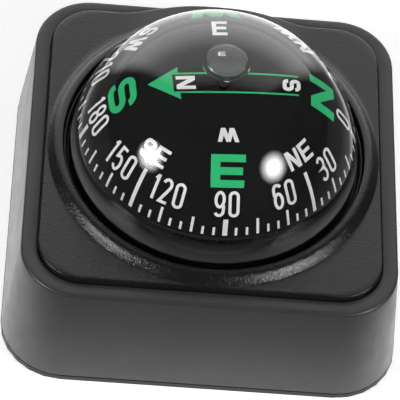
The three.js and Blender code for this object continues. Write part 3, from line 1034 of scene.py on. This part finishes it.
    def face_plate(self) -> Piece:
        """Builds the raised plate with its collar and the swell behind the ball.

        Returns:
            The piece.
        """
        top, collar_top = self.plate_top, self.plate_top + self.collar
        foot = self.hole + 2 * (self.lip + self.slope)
        half = math.tan(math.radians(self.slope_angle / 2))
        cone = (self.collar - self.slope * half) / (1 - half)
        bend = (self.slope - cone) / math.sin(math.radians(self.slope_angle))
        slope = []
        for step in range(self.slope_steps + 1):
            turn = math.radians(self.slope_angle * (1 - step / self.slope_steps))
            width = self.hole + 2 * (self.lip + bend * math.sin(turn))
            slope.append(Level(Ring.ROUND, width, collar_top - bend * (1 - math.cos(turn))))
        *edges, (inset, _) = quarter(self.plate_edge, self.small_edge_steps)
        levels = [
            Level(Ring.ROUND, self.hole, self.ledge_top),
            Level(Ring.SQUARE, self.plate, self.ledge_top, self.plate_corner),
            *(self.plate_level(inset, top - drop) for inset, drop in edges),
            self.plate_level(inset, top, self.plate_cuts),
            Level(Ring.ROUND, foot + self.crease[0], top),
            Level(Ring.ROUND, foot, top + self.crease[1]),
            *slope,
            Level(Ring.ROUND, self.hole + 2 * self.lip_edge, collar_top),
            Level(Ring.ROUND, self.hole + 2 * self.lip_bevel, collar_top - self.lip_bevel),
            Level(Ring.ROUND, self.hole, collar_top - self.lip_edge),
        ]
        plate = shape(lofted("face_skin", levels), self.swollen)
        radius, (low, high) = self.peg
        outline = [(0.0, low), (radius, low), (radius, high), (0.0, high)]
        peg = turned("peg", outline, self.peg_steps, False)
        return joined("face_skin", [plate, *self.corners(peg, self.peg_place)])

    def plate_level(self, inset: float, height: float, cuts: int = 0) -> Level:
        """A level of the face plate's side, so far inside it."""
        width, corner = self.plate - 2 * inset, self.plate_corner - inset
        return Level(Ring.SQUARE, width, height, corner, cuts)

    def build(self) -> None:
        """Builds and dresses the housing's pieces."""
        finished(dress(self.shell(), HOUSING_GREY), "housing", "housing_plastic", "housing_shell")
        plate = dress(self.face_plate(), FACE_GREY)
        finished(plate, "housing", "face_plastic", "face_plate", smooth=50.0)
        dress_node("base_plate", BASE_GREY)
        dress_node("adhesive_pad", FOAM_BLACK)
        for number in range(1, 5):
            dress_node(f"base_screw_{number}", SCREW_STEEL)


@dataclass
class Capsule:
    """The liquid-filled ball with its retaining ring, seal, cup and air bubble."""

    radius: float = 19.95
    inner_radius: float = 18.45
    centre: float = 17.05
    flange: float = 22.5
    flange_bottom: float = 13.5
    flange_top: float = 15.0
    ring_inside: float = 20.1
    ring_neck: float = 20.65
    ring_top: float = 18.45
    ring_shoulder: float = 16.4
    ring_chamfer: float = 0.35
    ring_edge: float = 0.1
    bubble_radius: float = 3.1
    bubble_height: float = 2.7
    bubble_lean: float = 5.5
    bubble_cap: float = 0.8
    bubble_belly: float = 0.45
    bubble_gap: float = 0.02
    bubble_turns: Band = (80.0, -8.0)
    bubble_steps: tuple[int, int, int] = (8, 8, 14)
    bubble_round: int = 64
    wetted: float = 0.1
    arc_steps: int = 48
    dome_steps: int = 160

    def dome(self) -> Piece:
        """Builds the clear half of the ball and dresses its wetted faces apart.

        Returns:
            The piece.
        """
        middle = (0.0, self.centre)
        outline = [
            *arc(middle, (self.inner_radius, self.inner_radius), 90, 0, self.arc_steps),
            (self.inner_radius, self.flange_bottom),
            (self.flange, self.flange_bottom),
            (self.flange, self.flange_top),
            (self.radius, self.flange_top),
            *arc(middle, (self.radius, self.radius), 0, 90, self.arc_steps),
        ]
        dome = turned("dome_skin", outline, self.dome_steps, False)
        dress(dome, OUTER_CLEAR, INNER_CLEAR)
        heart = Vector((0, 0, FOOT + self.centre * MM))
        for face in dome.data.polygons:
            place = face.center - heart
            reach = place.length if place.z > 0 else math.hypot(place.x, place.y)
            face.material_index = int(reach < (self.inner_radius + self.wetted) * MM)
        return dome

    def bubble(self) -> Piece:
        """Builds the air bubble, pressed flat against the top of the ball's inside.

        Returns:
            The piece.
        """
        inner, radius = self.inner_radius, self.bubble_radius
        cap_steps, belly_steps, under_steps = self.bubble_steps
        belly_start, under_start = self.bubble_turns
        top = self.centre + inner - self.bubble_gap
        cap = []
        for step in range(cap_steps + 1):
            reach = self.bubble_cap * radius * step / cap_steps
            cap.append((reach, top - (inner - math.sqrt(inner**2 - reach**2))))
        edge_radius, edge_height = cap[-1]
        half = self.bubble_height * self.bubble_belly
        middle = top - self.bubble_height + half
        rounding = (radius - edge_radius, edge_height - middle)
        belly = arc((edge_radius, middle), rounding, belly_start, 0, belly_steps)
        under = arc((0.0, middle), (radius, half), under_start, -90, under_steps)
        outline = [*cap, *belly, *under]
        outline[-1] = (0.0, outline[-1][1])
        bubble = turned("bubble_skin", outline, self.bubble_round, False)
        heart = Vector((0, 0, FOOT + self.centre * MM))
        lean = Matrix.Rotation(math.radians(-self.bubble_lean), 4, "X")
        bubble.data.transform(Matrix.Translation(heart) @ lean @ Matrix.Translation(-heart))
        return bubble

    def ring(self) -> Piece:
        """Builds the glossy retaining ring.

        Returns:
            The piece.
        """
        outline = [
            (self.ring_inside, self.flange_top),
            (self.flange, self.flange_top),
            (self.flange, self.ring_shoulder),
            (self.ring_neck, self.ring_shoulder),
            (self.ring_neck, self.ring_top),
            (self.ring_inside + self.ring_chamfer, self.ring_top),
            (self.ring_inside, self.ring_top - self.ring_chamfer),
        ]
        ring = turned("ring_skin", outline, self.dome_steps)
        return round_edges(ring, self.ring_edge, steps=3, angle=25)

    def build(self) -> None:
        """Builds and dresses the capsule's pieces."""
        finished(self.dome(), "housing", "clear_dome", "capsule_dome")
        finished(dress(self.bubble(), BUBBLE_SKIN), "housing", "clear_dome", smooth=60.0)
        finished(dress(self.ring(), GLOSS_BLACK), "housing", "gloss_black", "bezel_ring")
        dress_node("capsule_cup", CUP_BLACK)
        dress_node("capsule_gasket", SEAL_BLACK)
        dress_node("filler_plug", SEAL_BLACK)
        dress_node("cup_cushion", FOAM_BLACK)


@dataclass
class Pivot:
    """The brass post with its pointed pin, and the jewel in its holder over them."""

    def build(self) -> None:
        """Dresses the pivot's pieces."""
        dress_node("pivot_post", BRASS)
        dress_node("pivot_pin", PIN_STEEL)
        dress_node("jewel_cup", JEWEL_BLUE)
        dress_node("jewel_holder", BRASS)


@dataclass(frozen=True)
class Stroke:
    """One pen stroke of a sign, in a box from -1 to 1 across and 0 to 1 upwards."""

    points: tuple[Band, ...]
    closed: bool = False


BOW_STEP, FEWEST_STEPS = 15, 3


def bow(
    centre: float, rise: float, half: float, height: float, start: float, stop: float
) -> list[Band]:
    """An arc of a pen stroke, with about one point for each BOW_STEP degrees."""
    steps = max(FEWEST_STEPS, round(abs(stop - start) / BOW_STEP))
    return arc((centre, rise), (half, height), start, stop, steps)


def loop(centre: float, rise: float, half: float, height: float) -> Stroke:
    """A closed round pen stroke."""
    return Stroke(tuple(bow(centre, rise, half, height, 0, 360)[:-1]), True)


SIGN_STROKES: dict[str, tuple[Stroke, ...]] = {
    "0": (Stroke((*bow(0, 0.83, 1, 0.17, 0, 180), *bow(0, 0.17, 1, 0.17, 180, 360)), True),),
    "1": (Stroke(((-0.7, 0.84), (0.3, 0.99))), Stroke(((0.5, 1.05), (0.5, -0.05)))),
    "2": (Stroke((*bow(0, 0.78, 1, 0.22, 165, -30), (-1.0, 0.0), (1.0, 0.0))),),
    "3": (
        Stroke(tuple(bow(0, 0.765, 0.95, 0.235, 155, -90))),
        Stroke(tuple(bow(0, 0.265, 1, 0.265, 90, -155))),
    ),
    "4": (Stroke(((0.4, 1.0), (-1.0, 0.26), (1.0, 0.26))), Stroke(((0.4, 1.0), (0.4, 0.0)))),
    "5": (Stroke(((0.9, 1.0), (-0.75, 1.0), (-0.9, 0.55), *bow(0, 0.31, 1, 0.31, 120, -150))),),
    "6": (loop(0, 0.31, 1, 0.31), Stroke(((-1.0, 0.31), *bow(0, 0.8, 1, 0.2, 180, 25)))),
    "7": (Stroke(((-1.0, 1.0), (1.0, 1.0), (-0.25, 0.0))),),
    "8": (loop(0, 0.76, 0.92, 0.24), loop(0, 0.265, 1, 0.265)),
    "9": (loop(0, 0.69, 1, 0.31), Stroke(((1.0, 0.69), *bow(0, 0.2, 1, 0.2, 0, -155)))),
    "S": (
        Stroke(
            (
                *bow(0.45, 0.75, 0.55, 0.25, 0, 90),
                *bow(-0.45, 0.75, 0.55, 0.25, 90, 270),
                *bow(0.45, 0.25, 0.55, 0.25, 90, -90),
                *bow(-0.45, 0.25, 0.55, 0.25, -90, -180),
            )
        ),
    ),
}


# The lengths of the E's lower arms as shares of its width, and the strokes of the N's slant and
# of the W as shares of the pen.
E_FOOT, E_BAR = 0.97, 0.92
N_SLANT, W_STROKE = 1.25, 1.1


@dataclass(frozen=True)
class Lettering:
    """The size and pen of one kind of sign."""

    height: float
    pen: float
    arm: float
    widths: tuple[tuple[str, float], ...]
    gap: float = 0.4

    def width(self, sign: str) -> float:
        """The width of a sign."""
        return dict(self.widths).get(sign, self.widths[0][1])

    def outline(self, sign: str) -> list[Band]:
        """The outline of a straight-sided letter.

        Args:
            sign: E, N or W.

        Returns:
            Its corners, from the lower left corner of its box.
        """
        w, h, s, a = self.width(sign), self.height, self.pen, self.arm
        if sign == "E":
            foot, bar = E_FOOT * w, E_BAR * w
            low, high = h / 2 - a / 2, h / 2 + a / 2
            bars = [(foot, a), (s, a), (s, low), (bar, low), (bar, high), (s, high), (s, h - a)]
            return [(0, 0), (foot, 0), *bars, (w, h - a), (w, h), (0, h)]
        if sign == "N":
            wide = N_SLANT * s
            k = h * s / (w - wide)
            lower = [(0, 0), (s, 0), (s, h - k), (w - wide, 0), (w, 0)]
            return [*lower, *((w - x, h - y) for x, y in lower)]
        a = W_STROKE * s
        b = (w - a) / 4
        q = a / (2 * b)
        dip, peak, right = h * (1 - q), h * q, w - b - a
        low = [(0, h), (b, 0), (b + a, 0), (w / 2, dip), (right, 0), (w - b, 0), (w, h)]
        tops = [(w - a, h), (w - b - a / 2, peak), ((w + a) / 2, h), ((w - a) / 2, h)]
        return [*low, *tops, (b + a / 2, peak), (a, h)]


class Inks(Enum):
    """The printing's layers, each one piece."""

    TICKS = "card_ticks"
    NUMBERS = "card_numbers"
    POINTS = "card_letters"
    QUARTERS = "card_quarters"
    ARROW = "card_arrow"


NUMBER_STYLE = Lettering(3.3, 0.37, 0.37, (("0", 1.36), ("1", 0.9)), 0.39)
PAIR_STYLE = Lettering(2.42, 0.46, 0.42, (("S", 1.68), ("N", 1.82), ("E", 1.75), ("W", 2.6)), 0.36)
QUARTER_STYLE = Lettering(4.05, 1.15, 0.93, (("N", 4.75), ("E", 4.25), ("W", 5.6)))
ROUND_STYLE = Lettering(4.1, 0.9, 0.9, (("S", 4.3),))
TOP_STYLE = Lettering(2.2, 0.48, 0.42, (("S", 1.7), ("N", 1.9), ("E", 1.7), ("W", 2.6)))

# Each kind of tick with its width and the latitude of its top.
TICKS = {"short": (0.3, 19.6), "middle": (0.33, 23.1), "quarter": (0.6, 23.5), "long": (0.5, 34.8)}
# The words of the round zone with their headings.
PAIRS = (("NE", 43.6), ("SE", 135.3), ("SW", 226.4), ("NW", 314.0))
QUARTERS = (("N", -2.2), ("E", 90.0), ("S", 181.6), ("W", 270.0))
# The small letters of the flat top with their places and the headings that they face.
TOP_SIGNS = (
    ("N", (-4.3, 0.15), 180),
    ("S", (7.8, 0.12), 0),
    ("W", (0.0, -7.75), 90),
    ("E", (0.12, 7.95), 270),
)
ARROW_HEAD = (
    (0, 8.9),
    (-2.35, 5.05),
    (-1.47, 5.1),
    (-1.3, 5.8),
    (1.3, 5.8),
    (1.47, 5.1),
    (2.35, 5.05),
)
ARROW_LINE = ((-0.11, -8.65), (0.11, -8.65), (0.11, 5.85), (-0.11, 5.85))
ARROW_PLACE, ARROW_FACING = (0.0, 0.05), 180
LINE_PLACES = ((0.0, -1.26), (0.0, 1.46))


@dataclass
class Card:
    """The floating card: its black skin, hub and float, and the printing on it."""

    lean: float = 7.1
    roll: float = 0.5
    turn: float = 4.7
    pivot: float = 12.2
    rise: float = 2.0
    radius: float = 16.4
    inner_radius: float = 15.6
    rim_latitude: float = 14.6
    flat: float = 13.6
    ceiling: float = 12.8
    eye: float = 0.8
    flat_ring: float = 6.0
    edge: float = 0.12
    arc_steps: tuple[int, int] = (28, 24)
    dome_steps: int = 144
    ink: float = 0.03
    stroke_cuts: int = 1
    sign_cuts: int = 3
    tick_foot: float = 15.9
    number_latitude: float = 30.3
    pair_latitude: float = 42.4
    quarter_latitude: float = 44.6

    def __post_init__(self) -> None:
        """Works out how the card lies and starts the lists of printed signs."""
        self.matrix = Matrix.Translation((0, 0, FOOT + self.pivot * MM))
        for angle, axis in ((-self.lean, "X"), (self.roll, "Y"), (self.turn, "Z")):
            self.matrix @= Matrix.Rotation(math.radians(angle), 4, axis)
        self.heart = Vector((0, 0, self.rise * MM))
        self.patterns: dict[tuple[str, Lettering], Piece] = {}
        self.layers: dict[Inks, list[Piece]] = {layer: [] for layer in Inks}

    def skin(self) -> Piece:
        """Builds the card's domed skin with its flat top.

        Returns:
            The piece.
        """
        middle = (0.0, self.rise)
        outer = math.degrees(math.asin(self.flat / self.radius))
        inner = math.degrees(math.asin(self.ceiling / self.inner_radius))
        steps, inner_steps = self.arc_steps
        inside = (self.inner_radius, self.inner_radius)
        outline = [
            *arc(middle, (self.radius, self.radius), self.rim_latitude, outer, steps),
            (self.flat_ring, self.rise + self.flat),
            (self.eye, self.rise + self.flat),
            (self.eye, self.rise + self.ceiling),
            *arc(middle, inside, inner, self.rim_latitude, inner_steps),
        ]
        skin = turned("card_skin", outline, self.dome_steps, rise=0.0)
        round_edges(skin, self.edge, angle=30)
        skin.data.transform(self.matrix)
        return skin

    def drawn(self, sign: str, style: Lettering) -> Piece:
        """Models a sign once, flat, with the middle of its box at the origin.

        Args:
            sign: the sign.
            style: its size and pen.

        Returns:
            The pattern to copy.
        """
        if (sign, style) in self.patterns:
            return self.patterns[sign, style]
        pattern = new_piece(f"sign_{sign}")
        if sign in SIGN_STROKES:
            half = (style.width(sign) - style.pen) / 2
            tall = style.height - style.pen
            with editing(pattern):
                for stroke in SIGN_STROKES[sign]:
                    corners = [(x * half, (y - 0.5) * tall) for x, y in stroke.points]
                    self.trace(corners, stroke.closed)
                weld()
                self.thicken(self.stroke_cuts)
            painted_side_gain = style.pen * MM
            applied(pattern, "SOLIDIFY", thickness=painted_side_gain, offset=0.0, use_even_offset=True)
        else:
            across = style.width(sign) / 2
            corners = [(x - across, y - style.height / 2) for x, y in style.outline(sign)]
            self.fill(pattern, corners)
        self.patterns[sign, style] = pattern
        return pattern

    def trace(self, corners: Outline, closed: bool) -> None:
        """Draws a flat chain of edges at the ink's underside into the open mesh."""
        draw_chain([Vector((x, y, -self.ink)) * MM for x, y in corners], closed)

    def thicken(self, cuts: int) -> None:
        """Divides the open flat mesh and gives it the ink's thickness.

        Args:
            cuts: the points that divide each edge.
        """
        bpy.ops.mesh.select_all(action="SELECT")
        bpy.ops.mesh.subdivide(number_cuts=cuts)
        bpy.ops.mesh.select_all(action="SELECT")
        up = {"value": (0, 0, 2 * self.ink * MM)}
        bpy.ops.mesh.extrude_region_move(TRANSFORM_OT_translate=up)

    def fill(self, pattern: Piece, corners: Outline) -> None:
        """Fills an outline and gives it the ink's thickness.

        Args:
            pattern: the empty piece to draw into.
            corners: the outline's corners.
        """
        with editing(pattern):
            self.trace(corners, True)
            weld()
            bpy.ops.mesh.edge_face_add()
            bpy.ops.mesh.quads_convert_to_tris(ngon_method="BEAUTY")
            self.thicken(self.sign_cuts)
            close_up()

    def wrapped(self, piece: Piece, heading: float, latitude: float) -> Piece:
        """Lays a flat piece on the card's round zone, its top towards the pole.

        Args:
            piece: the flat piece.
            heading: where its middle lies, in degrees of the card.
            latitude: its middle's latitude in degrees.

        Returns:
            The piece.
        """
        turn, tilt = math.radians(-heading), math.radians(latitude)
        east, north = math.cos(turn), math.sin(turn)
        level, steep = math.cos(tilt), math.sin(tilt)
        out = Vector((level * east, level * north, steep))
        up = Vector((-steep * east, -steep * north, level))
        right = up.cross(out)
        reach = self.radius * MM

        def lay(point: Vector) -> Vector:
            """The place on the card of a point of the flat piece."""
            way = (out * reach + right * point.x + up * point.y).normalized()
            return self.matrix @ (self.heart + way * (reach + point.z))

        return shape(piece, lay)

    def laid(self, piece: Piece, place: tuple[float, float], facing: float) -> Piece:
        """Lays a flat piece on the card's flat top.

        Args:
            piece: the flat piece.
            place: its middle.
            facing: the heading in degrees that its top points to.

        Returns:
            The piece.
        """
        turn = math.radians(-facing)
        up = Vector((math.cos(turn), math.sin(turn), 0))
        right = Vector((math.sin(turn), -math.cos(turn), 0))
        spot = self.heart + Vector((*place, self.flat)) * MM

        def lay(point: Vector) -> Vector:
            """The place on the card of a point of the flat piece."""
            over = Vector((0, 0, point.z))
            return self.matrix @ (spot + right * point.x + up * point.y + over)

        return shape(piece, lay)

    def ticks(self) -> None:
        """Prints the scale, a tick for each five degrees."""
        patterns: dict[str, Piece] = {}
        for kind, (width, top) in TICKS.items():
            half = width / 2
            tall = math.radians(top - self.tick_foot) * self.radius / 2
            patterns[kind] = new_piece(f"tick_{kind}")
            self.fill(patterns[kind], [(-half, -tall), (half, -tall), (half, tall), (-half, tall)])
        for heading in range(0, 360, 5):
            kind = "short" if heading % 15 else "middle"
            if heading % 45 == 0:
                kind = "long" if heading % 90 else "quarter"
            middle = (TICKS[kind][1] + self.tick_foot) / 2
            mark = copied(patterns[kind], "tick")
            self.layers[Inks.TICKS].append(self.wrapped(mark, heading, middle))
        deleted(*patterns.values())

    def write(
        self, layer: Inks, words: str, style: Lettering, heading: float, latitude: float
    ) -> None:
        """Prints a word round the card, sign by sign.

        Args:
            layer: the printing's layer.
            words: the word.
            style: its size and pen.
            heading: where its middle lies, in degrees of the card.
            latitude: its middle's latitude in degrees.
        """
        widths = [style.width(sign) for sign in words]
        start = -(sum(widths) + style.gap * (len(words) - 1)) / 2
        parallel = self.radius * math.cos(math.radians(latitude))
        for sign, width in zip(words, widths):
            offset = math.degrees((start + width / 2) / parallel)
            mark = copied(self.drawn(sign, style), "sign")
            self.layers[layer].append(self.wrapped(mark, heading - offset, latitude))
            start += width + style.gap

    def signs(self) -> None:
        """Prints the numbers and the letters of the round zone."""
        for heading in range(0, 360, 30):
            self.write(Inks.NUMBERS, str(heading), NUMBER_STYLE, heading, self.number_latitude)
        for words, heading in PAIRS:
            self.write(Inks.POINTS, words, PAIR_STYLE, heading, self.pair_latitude)
        for words, heading in QUARTERS:
            style = ROUND_STYLE if words == "S" else QUARTER_STYLE
            self.write(Inks.QUARTERS, words, style, heading, self.quarter_latitude)

    def arrow(self) -> None:
        """Prints the arrow and the small letters on the flat top."""
        marks = self.layers[Inks.ARROW]
        head, line = new_piece("arrow_head"), new_piece("arrow_line")
        self.fill(head, ARROW_HEAD)
        self.fill(line, ARROW_LINE)
        marks.append(self.laid(head, ARROW_PLACE, ARROW_FACING))
        for place in LINE_PLACES:
            marks.append(self.laid(copied(line, "arrow_line"), place, ARROW_FACING))
        deleted(line)
        for sign, place, facing in TOP_SIGNS:
            mark = copied(self.drawn(sign, TOP_STYLE), "sign")
            self.layers[Inks.POINTS].append(self.laid(mark, place, facing))

    def build(self) -> None:
        """Builds and dresses the card's pieces."""
        finished(dress(self.skin(), CARD_BLACK), "card", "card_plastic", "card_dome")
        self.ticks()
        self.signs()
        self.arrow()
        deleted(*self.patterns.values())
        for layer, marks in self.layers.items():
            ink = GREEN_INK if layer in (Inks.QUARTERS, Inks.ARROW) else WHITE_INK
            finished(dress(joined(layer.value, marks), ink), "card", "card_plastic")
        dress_node("card_hub", HUB_BLACK)
        dress_node("card_float", FLOAT_BLACK)
        dress_node("magnet_left", MAGNET_BLACK)
        dress_node("magnet_right", MAGNET_BLACK)


# The studio


class Sums:
    """Sums on shader values in one node tree."""

    def __init__(self, tree: bpy.types.NodeTree) -> None:
        """Keeps the tree that the sums are written in."""
        self.tree = tree

    def of(self, operation: str, first: object, second: object) -> Socket:
        """Adds one sum.

        Args:
            operation: what is done with the two values.
            first: a number or a socket.
            second: a number or a socket.

        Returns:
            The result.
        """
        values = {0: first, 1: second}
        return wired(self.tree, "ShaderNodeMath", values, operation=operation).outputs[0]

    def times(self, *values: object) -> Socket:
        """The product of numbers and sockets."""
        return reduce(partial(self.of, "MULTIPLY"), values)

    def highest(self, *values: object) -> Socket:
        """The highest of numbers and sockets."""
        return reduce(partial(self.of, "MAXIMUM"), values)

    def ramp(self, value: Socket, start: float, stop: float) -> Socket:
        """A share that goes from 0 at the start to 1 at the stop, softly.

        Args:
            value: the value.
            start: where the share is 0.
            stop: where it is 1.

        Returns:
            The share.
        """
        rising = start < stop
        inputs = {
            "Value": value,
            "From Min": min(start, stop),
            "From Max": max(start, stop),
            "To Min": float(not rising),
            "To Max": float(rising),
        }
        soft = wired(self.tree, "ShaderNodeMapRange", inputs, interpolation_type="SMOOTHSTEP")
        return soft.outputs["Result"]

    def parts(self, vector: Socket) -> tuple[Socket, Socket, Socket]:
        """The three parts of a vector.

        Args:
            vector: the vector.

        Returns:
            Its x, y and z.
        """
        return tuple(wired(self.tree, "ShaderNodeSeparateXYZ", {0: vector}).outputs)

    def rays(self) -> tuple[Socket, Socket]:
        """What kind of ray meets the surface.

        Returns:
            Whether it comes from the eye, and whether it comes off gloss or through the ball.
        """
        kinds = wired(self.tree, "ShaderNodeLightPath").outputs
        mirrored = self.highest(kinds["Is Glossy Ray"], kinds["Is Transmission Ray"])
        return kinds["Is Camera Ray"], mirrored


def aimed(azimuth: float, elevation: float, roll: float = 0.0) -> Matrix:
    """The turn of a camera or lamp that looks at the compass.

    Args:
        azimuth: where it stands, in degrees from the reader's side, positive to the right.
        elevation: its elevation in degrees.
        roll: its turn about its own axis in degrees.

    Returns:
        The turn.
    """
    aim = Matrix.Rotation(math.radians(azimuth), 4, "Z")
    aim @= Matrix.Rotation(math.radians(90 - elevation), 4, "X")
    return aim @ Matrix.Rotation(math.radians(roll), 4, "Z")


@dataclass
class Studio:
    """The camera, two soft lamps, the white floor and the white backdrop.

    In reflections and through the ball the floor glows behind the compass, and less in front of
    it, and the backdrop is a sheet that stands behind it. A pair of numbers says where such a
    glow ends and where it is full. On the floor these are millimetres, but rear_width and drift
    are shares of the distance to the rear, as all pairs of the sheet are.
    """

    place: tuple[float, float, float] = (-23.896, -209.298, 295.555)
    azimuth: float = -6.32
    elevation: float = 53.91
    roll: float = 9.32
    lens: float = 227.18
    sensor: float = 36.0
    nearest: float = 10.0
    lamps: tuple[tuple[str, float, float], ...] = (
        ("lamp_left", -62.0, 25.5),
        ("lamp_right", 54.0, 30.0),
    )
    lamp_distance: float = 600.0
    lamp_size: float = 340.0
    lamp_power: float = 11.0
    lamp_fade: float = 0.4
    lamp_aim: float = 20.0
    floor_size: float = 8000.0
    floor_drop: float = 0.05
    floor_white: float = 0.9
    floor_glow: float = 0.5
    bounce: float = 0.3
    far_bounce: float = 0.04
    far: Band = (55.0, 110.0)
    rear: Band = (30.0, 200.0)
    rear_glow: Band = (0.5, 1.5)
    rear_width: Band = (1.0, 0.72)
    drift: float = 0.08
    front: Band = (-45.0, -20.0)
    front_glow: float = 1.6
    front_width: Band = (60.0, 35.0)
    faint: Band = (-80.0, 0.0)
    faint_glow: float = 0.1
    ambient: float = 0.3
    overhead: float = 0.02
    backdrop: float = 1.75
    sheet_least: float = 0.02
    sheet_width: Band = (1.05, 0.7)
    sheet_taper: float = 0.3
    sheet_foot: Band = (0.8, 0.2)
    sheet_foot_glow: float = 0.85
    sheet_top: Band = (3.6, 0.9)

    def camera(self) -> None:
        """Sets up the camera at the photograph's angle."""
        data = bpy.data.cameras.new("camera")
        data.lens = self.lens
        data.sensor_width = self.sensor
        data.clip_start = self.nearest * MM
        camera = bpy.data.objects.new("camera", data)
        bpy.context.collection.objects.link(camera)
        aim = aimed(self.azimuth, self.elevation, self.roll)
        camera.matrix_world = Matrix.Translation(Vector(self.place) * MM) @ aim
        bpy.context.scene.camera = camera

    def lamp(self, name: str, azimuth: float, elevation: float) -> None:
        """Hangs a soft lamp that faces the compass and fades towards its edge.

        Args:
            name: the lamp's name.
            azimuth: its direction in degrees from the reader's side, positive to the right.
            elevation: its elevation in degrees.
        """
        data = bpy.data.lights.new(name, "AREA")
        data.shape = "DISK"
        data.size = self.lamp_size * MM
        data.energy = self.lamp_power
        data.use_nodes = True
        nodes = data.node_tree.nodes
        sums = Sums(data.node_tree)
        x, y, _ = sums.parts(nodes.new("ShaderNodeNewGeometry").outputs["Parametric"])
        aside, along = sums.of("SUBTRACT", x, 0.5), sums.of("SUBTRACT", y, 0.5)
        squares = sums.of("ADD", sums.times(aside, aside), sums.times(along, along))
        glow = sums.ramp(sums.of("SQRT", squares, 0.0), self.lamp_fade, 0.0)
        emission = next(node for node in nodes if node.type == "EMISSION")
        data.node_tree.links.new(glow, emission.inputs["Strength"])
        lamp = bpy.data.objects.new(name, data)
        bpy.context.collection.objects.link(lamp)
        lamp.visible_camera = False
        lamp.visible_transmission = False
        aim = aimed(azimuth, elevation)
        spot = aim @ Vector((0, 0, self.lamp_distance * MM))
        spot += Vector((0, 0, self.lamp_aim * MM))
        lamp.matrix_world = Matrix.Translation(spot) @ aim

    def floor(self) -> None:
        """Lays the white floor, which keeps the compass's shadow and is lit from behind."""
        bpy.ops.object.select_all(action="DESELECT")
        place = (0, 0, -self.floor_drop * MM)
        bpy.ops.mesh.primitive_plane_add(size=self.floor_size * MM, location=place)
        floor = bpy.context.object
        floor.name = "floor"
        recipe = Recipe("floor_white")
        sums = Sums(recipe.tree)
        camera, mirrored = sums.rays()
        x, y, _ = sums.parts(recipe.add("ShaderNodeTexCoord").outputs["Object"])
        aside = sums.of("DIVIDE", x, sums.highest(y, MM))
        slant = sums.of("ABSOLUTE", sums.of("ADD", aside, self.drift), 0.0)
        least, gain = self.rear_glow
        depth = sums.of("ADD", sums.times(sums.ramp(y, *metres(self.rear)), gain), least)
        behind = sums.of("GREATER_THAN", y, 0.0)
        rear = sums.times(depth, behind, sums.ramp(slant, *self.rear_width))
        width = sums.ramp(sums.of("ABSOLUTE", x, 0.0), *metres(self.front_width))
        front = sums.times(width, sums.ramp(y, *metres(self.front)), self.front_glow)
        faint = sums.times(sums.ramp(y, *metres(self.faint)), self.faint_glow)
        own = sums.times(sums.highest(rear, front, faint), mirrored)
        glow = sums.of("ADD", own, sums.times(camera, self.floor_glow))
        reach = recipe.add("ShaderNodeVectorMath", {0: recipe.place()}, operation="LENGTH")
        dim = sums.times(sums.ramp(reach.outputs["Value"], *metres(self.far)), mirrored)
        bounce = recipe.blend(dim, paint(WHITE, self.bounce), paint(WHITE, self.far_bounce))
        colour = recipe.blend(camera, bounce, paint(WHITE, self.floor_white))
        lit = recipe.add("ShaderNodeBsdfDiffuse", {"Color": colour}).outputs["BSDF"]
        shine = recipe.add("ShaderNodeEmission", {"Strength": glow}).outputs["Emission"]
        both = recipe.add("ShaderNodeAddShader", {0: lit, 1: shine}).outputs["Shader"]
        floor.data.materials.append(recipe.done(both))

    def world(self) -> None:
        """Paints the surroundings: white for the eye, a backdrop behind the compass for gloss."""
        world = bpy.data.worlds.new("studio")
        bpy.context.scene.world = world
        world.use_nodes = True
        tree = world.node_tree
        tree.nodes.clear()
        sums = Sums(tree)
        camera, mirrored = sums.rays()
        x, y, z = sums.parts(wired(tree, "ShaderNodeTexCoord").outputs["Generated"])
        depth = sums.highest(y, self.sheet_least)
        aside = sums.of("DIVIDE", sums.of("ABSOLUTE", x, 0.0), depth)
        upper = sums.of("DIVIDE", z, depth)
        across = sums.of("SUBTRACT", aside, sums.times(upper, self.sheet_taper))
        foot = sums.times(sums.ramp(upper, *self.sheet_foot), self.sheet_foot_glow)
        tone = sums.of("ADD", foot, sums.ramp(upper, *self.sheet_top))
        behind = sums.of("GREATER_THAN", y, 0.0)
        sheet = sums.times(sums.ramp(across, *self.sheet_width), tone, behind, self.backdrop)
        room = sums.times(sums.highest(sheet, self.overhead), mirrored)
        plain = sums.times(sums.of("SUBTRACT", 1.0, mirrored), self.ambient)
        hidden = sums.times(sums.of("ADD", room, plain), sums.of("SUBTRACT", 1.0, camera))
        strength = sums.of("ADD", hidden, camera)
        light = wired(tree, "ShaderNodeBackground", {"Strength": strength}).outputs["Background"]
        wired(tree, "ShaderNodeOutputWorld", {"Surface": light})

    def build(self) -> None:
        """Sets up the whole studio."""
        bpy.context.scene.view_settings.view_transform = "Standard"
        self.camera()
        for name, azimuth, elevation in self.lamps:
            self.lamp(name, azimuth, elevation)
        self.floor()
        self.world()
        log.info("studio ready")


def main() -> None:
    """Builds the studio and the compass, sub-assembly by sub-assembly."""
    logging.basicConfig(level=logging.INFO, format="%(name)s: %(message)s")
    Studio().build()
    for assembly in (Housing(), Capsule(), Pivot(), Card()):
        assembly.build()


if __name__ == "__main__":
    main()
